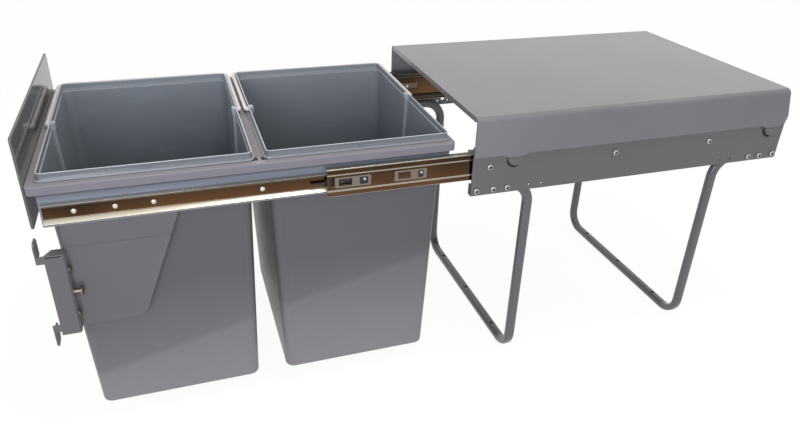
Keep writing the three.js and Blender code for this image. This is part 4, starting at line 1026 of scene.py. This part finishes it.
def bin_bands(at):
    """The rings of a bin's skin by look: up its outside, over its rim and down its inside."""
    t, edge, foot = BIN_WALL, BIN_EDGE, BIN_FOOT_RADIUS
    soft = edge * 0.3
    mid_z = (at.ledge_top + at.rim_z) / 2
    wall_z = at.foot_z + foot

    def ring(x, y, radius, z, groove=0):
        return rounded_ring(x, y, max(radius, SMALLEST_CORNER), at.centre_y, z, groove)

    def base(back, z):
        return ring(at.foot_x - back, at.foot_y - back, BIN_CORNER - back, z)

    def wall(share, back, groove):
        x = at.foot_x - back + BIN_SIDE_DRAFT * share
        y = at.foot_y - back + BIN_END_DRAFT * share
        return ring(x, y, BIN_CORNER - back, wall_z + (at.ledge_z - wall_z) * share, groove)

    def ledge(back, z):
        return ring(at.ledge_x - back, at.ledge_y - back, RIM_CORNER + LEDGE_OVERHANG - back, z)

    def rim(back, z):
        return ring(at.rim_x - back, at.rim_y - back, RIM_CORNER - back, z)

    def rim_inside(back, z):
        return ring(at.rim_x - t - back, at.rim_y - t - back, RIM_CORNER - t, z)

    # the small numbers round off the steps between wall, ledge and rim, and the floor's inner corner
    bends = quarter_turn(5)
    return {
        "bin_plastic": [
            *(base(foot * (1 - math.sin(a)), at.foot_z + foot * (1 - math.cos(a))) for a in bends),
            *(wall(share, 0, CORNER_GROOVE_DEPTH) for share in WALL_RINGS),
            ring(at.top_x, at.top_y, BIN_CORNER, at.ledge_z - 0.01),
            ring(at.top_x + 0.4, at.top_y + 0.4, BIN_CORNER, at.ledge_z),
        ],
        "bin_ledge": [
            ledge(edge, at.ledge_z), ledge(0, at.ledge_z + edge), ledge(0, at.ledge_top - edge),
            ledge(soft, at.ledge_top - soft), ledge(edge, at.ledge_top),
        ],
        "bin_rim": [rim(-edge, at.ledge_top), rim(0, at.ledge_top + edge), rim(RIM_HOLLOW, mid_z)],
        "bin_edge": [
            rim(0, at.rim_z - edge), rim(soft, at.rim_z - soft), rim(edge, at.rim_z),
            rim(t - edge, at.rim_z), rim_inside(-soft, at.rim_z - soft),
        ],
        "bin_inside": [
            rim_inside(0, at.rim_z - edge), rim_inside(RIM_HOLLOW, mid_z),
            rim_inside(0.2, at.ledge_top + edge), rim_inside(0.8, at.ledge_top),
            ring(at.top_x - t + 0.6, at.top_y - t + 0.3, BIN_CORNER - t, at.ledge_top - 0.4),
            ring(at.top_x - t, at.top_y - t, BIN_CORNER - t, at.ledge_top - 1.1),
            *(wall(share, t, -CORNER_GROOVE_DEPTH) for share in reversed(WALL_RINGS)),
            base(t + 0.8, at.foot_z + t + 0.7), base(t + 2, at.foot_z + t),
        ],
    }


def bin_fittings(at):
    """What is joined to a bin, its ribs, hinge bosses and round marks, and what is cut, its hinge bores."""
    rib_z = at.foot_z + RIB_FOOT
    lean = BIN_END_DRAFT / (at.ledge_z - at.foot_z)
    pin_z = at.ledge_top + 2 * WIRE_GAP + WIRE_RADIUS
    wall_y = at.rim_y - BIN_WALL

    def inner(z):
        return at.top_y - BIN_WALL - (at.ledge_z - z) * lean

    rib = fillet([
        (inner(rib_z) + INTO_WALL, rib_z), (inner(at.ledge_z) + INTO_WALL, at.ledge_z),
        (inner(at.ledge_z) + INTO_WALL, pin_z), (inner(at.ledge_z) - RIB_DEPTH, pin_z),
        (inner(rib_z) - RIB_DEPTH * 0.4, rib_z),
    ], [0, 0, 0, 0.6, 0.1], 3)
    low, high = at.ledge_z + 1, at.rim_z - BOSS_BELOW_RIM
    near, far = wall_y - BOSS_DEPTH, wall_y + INTO_WALL
    boss = fillet(rectangle(near, far, low, high), [0.8, 0, 0, 1.2], 4)
    bore = rod(WIRE_RADIUS + WIRE_GAP, 0, BOSS_DEPTH + RIB_DEPTH + BIN_WALL + 3)
    added, cut = [], []
    for end in (1, -1):
        for outline, half in ((rib, RIB_HALF_WIDTH), (boss, BOSS_HALF_WIDTH)):
            placed = [(at.centre_y + end * y, z) for y, z in outline]
            added.append(tool(prism, placed, along_x, -half, half, look="bin_rib"))
        bore_start = (0, at.centre_y + end * (wall_y - BOSS_DEPTH - RIB_DEPTH - 1), pin_z)
        cut.append(tool(lathe, bore, bore_start, (0, end, 0), 24, look="bin_inside"))
    r, h = MARK_RADIUS, MARK_HEIGHT
    mark = [
        (-1, r), (h * 0.6, r), (h, r - 0.4), (h, r - 0.9),
        (h * 0.2, r - 1.3), (h * 0.2, 1), (h, 0.7), (h, TIP),
    ]
    for side in (1, -1):
        place = (side * at.rim_x, at.centre_y, at.ledge_top + MARK_ABOVE_LEDGE)
        added.append(tool(lathe, mark, place, (side, 0, 0), 28, look="bin_rim"))
    return added, cut


def bin_tub(node):
    """A tapered bin in one skin, with its fittings."""
    at = bin_size(node)
    bands = bin_bands(at)
    band_of = [i for i, rings in enumerate(bands.values()) for _ in rings]
    bm = bmesh.new()
    rows = skin(bm, [ring for rings in bands.values() for ring in rings])
    row_of = {vert: i for i, row in enumerate(rows) for vert in row}
    for face in bm.faces:
        face.material_index = band_of[min(row_of[vert] for vert in face.verts)]
    obj = combine(new_object(f"{node}_fine", bm, 40, bands), *bin_fittings(at), sharp=40)
    return dress(even_shading(obj), node)


def bail_handle(node, bin_node):
    """A wire bail, whose two ends turn inwards through the bin's hinge bosses."""
    low, high = span(node)
    centre_y = (low.y + high.y) / 2
    arm_y = (high.y - low.y) / 2 - WIRE_RADIUS
    side_x = low.x + WIRE_RADIUS
    pin_z = (low.z + high.z) / 2
    pin_y = bin_size(bin_node).rim_y - BIN_WALL - PIN_INSIDE
    half_path = [(0, pin_y), (0, arm_y), (side_x, arm_y)]
    corners = [(x, centre_y - y, pin_z) for x, y in half_path]
    corners += [(x, centre_y + y, pin_z) for x, y in reversed(half_path)]
    bm = bmesh.new()
    bends = [HANDLE_PIN_BEND, HANDLE_BEND, HANDLE_BEND, HANDLE_PIN_BEND]
    bent_sweep(bm, corners, bends, circle(WIRE_RADIUS, 16), (0, 0, 1), 10)
    return dress(new_object(f"{node}_fine", bm, sharp=60), node)


# -------- floor, light, camera

FLOOR_SIZE = 6000
FLOOR_DROP = 0.3  # just under the hoops' feet
FLOOR_WHITE = 0.84  # how much of the floor's look is plain white; the rest shows the shadow
FLOOR_GLOW = 1.12  # its share of the floor's look stays under 1, plain white


def floor():
    """A white floor that keeps the object's shadow."""
    bm = bmesh.new()
    bmesh.ops.create_grid(bm, x_segments=1, y_segments=1, size=FLOOR_SIZE)
    bmesh.ops.translate(bm, verts=bm.verts, vec=(0, 0, -FLOOR_DROP))
    look = Look("floor", (0.6, 0.6, 0.6), 0.7, specular_ior_level=0.1)
    white = look.range(look.seen(), 0, 1, 0, FLOOR_WHITE)
    glow = look.node("Emission", {"Strength": FLOOR_GLOW}).outputs["Emission"]
    surface = {"Fac": white, 1: look.shader.outputs["BSDF"], 2: glow}
    mix = look.node("MixShader", surface)
    look.feed(look.nodes["Material Output"], {"Surface": mix.outputs["Shader"]})
    new_object("floor", bm, looks=["floor"])


WORLD_LIGHT = 0.42


def world():
    """An even pale surround: white where it is seen or mirrored, softer as light."""
    surround = bpy.data.worlds.new("surround")
    SCENE.world = surround
    tree = Tree(surround)
    tree.nodes.clear()
    white = (1, 1, 1, 1)
    light = tree.node("Background", {"Color": white, "Strength": WORLD_LIGHT})
    shown = tree.node("Background", {"Color": white, "Strength": 1})
    inputs = {"Fac": tree.seen(), 1: light.outputs["Background"], 2: shown.outputs["Background"]}
    mix = tree.node("MixShader", inputs)
    tree.node("OutputWorld", {"Surface": mix.outputs["Shader"]})


# place in metres, width and height in metres, power in watts and colour
LAMPS = {
    "overhead": ((0.4, 0.1, 2.3), (0.7, 0.7), 12.5, (1.0, 0.945, 0.88)),
    "camera_side": ((1.0, -0.5, 0.62), (0.55, 0.55), 4.8, (0.82, 0.87, 1.0)),
    "glint": ((0.56, 1.32, 1.84), (0.07, 0.6), 1.7, (1.0, 0.98, 0.95)),
}
LAMP_AIM = Vector((0, 0, 0.3))


def lamps():
    """Soft lamps over the housing, beside the camera and for the glint on the hoops."""
    for name, (place, (width, height), power, color) in LAMPS.items():
        data = bpy.data.lights.new(name, "AREA")
        data.shape = "ELLIPSE"
        data.size, data.size_y = width, height
        data.energy = power
        data.color = color
        obj = add_object(name, data)
        obj.location = place
        obj.rotation_euler = (LAMP_AIM - obj.location).to_track_quat("-Z", "Y").to_euler()


# The photograph is 800 x 424. Its view was solved from known points of the unit.
PICTURE_WIDTH = 800
SENSOR = 36
CAMERA_PLACE = (0.8800, -0.3372, 0.6844)  # metres; the angles below are radians
CAMERA_AZIMUTH = -0.338
CAMERA_ELEVATION = 0.500
CAMERA_ROLL = 0.034
FOCAL_PIXELS = 686.7


def camera():
    """The photograph's view."""
    data = bpy.data.cameras.new("camera")
    data.sensor_width = SENSOR
    data.sensor_fit = "HORIZONTAL"
    data.lens = FOCAL_PIXELS / PICTURE_WIDTH * SENSOR
    data.clip_start = 0.01
    data.clip_end = 50
    obj = add_object("camera", data)
    level = math.cos(CAMERA_ELEVATION)
    back = Vector((
        level * math.cos(CAMERA_AZIMUTH), level * math.sin(CAMERA_AZIMUTH), math.sin(CAMERA_ELEVATION),
    ))
    right = (-back).cross(Vector((0, 0, 1))).normalized()
    up = right.cross(-back)
    turned_right = math.cos(CAMERA_ROLL) * right + math.sin(CAMERA_ROLL) * up
    turned_up = math.cos(CAMERA_ROLL) * up - math.sin(CAMERA_ROLL) * right
    rows = Matrix((turned_right, turned_up, back)).transposed().to_4x4()
    obj.matrix_world = Matrix.Translation(CAMERA_PLACE) @ rows
    SCENE.camera = obj


# -------- the whole picture

camera()
world()
lamps()
floor()
folded_pieces()
hoop_leg("front_hoop_leg", 1)
hoop_leg("rear_hoop_leg", -1)
for side_name, side_sign in SIDES.items():
    cabinet_member(f"slide_cabinet_member_{side_name}", side_sign)
    middle_member(f"slide_middle_member_{side_name}", side_sign)
    drawer_member(f"slide_drawer_member_{side_name}", side_sign)
    release_lever(f"release_lever_{side_name}")
    folded(f"outer_ball_cage_{side_name}", 0.12, look="zinc_satin")
    folded(f"inner_ball_cage_{side_name}", 0.12, look="cage_steel")
screws()
for place in ("front", "rear"):
    bin_tub(f"{place}_bin")
    bail_handle(f"{place}_bin_handle", f"{place}_bin")

SCENE.view_settings.view_transform = "Standard"
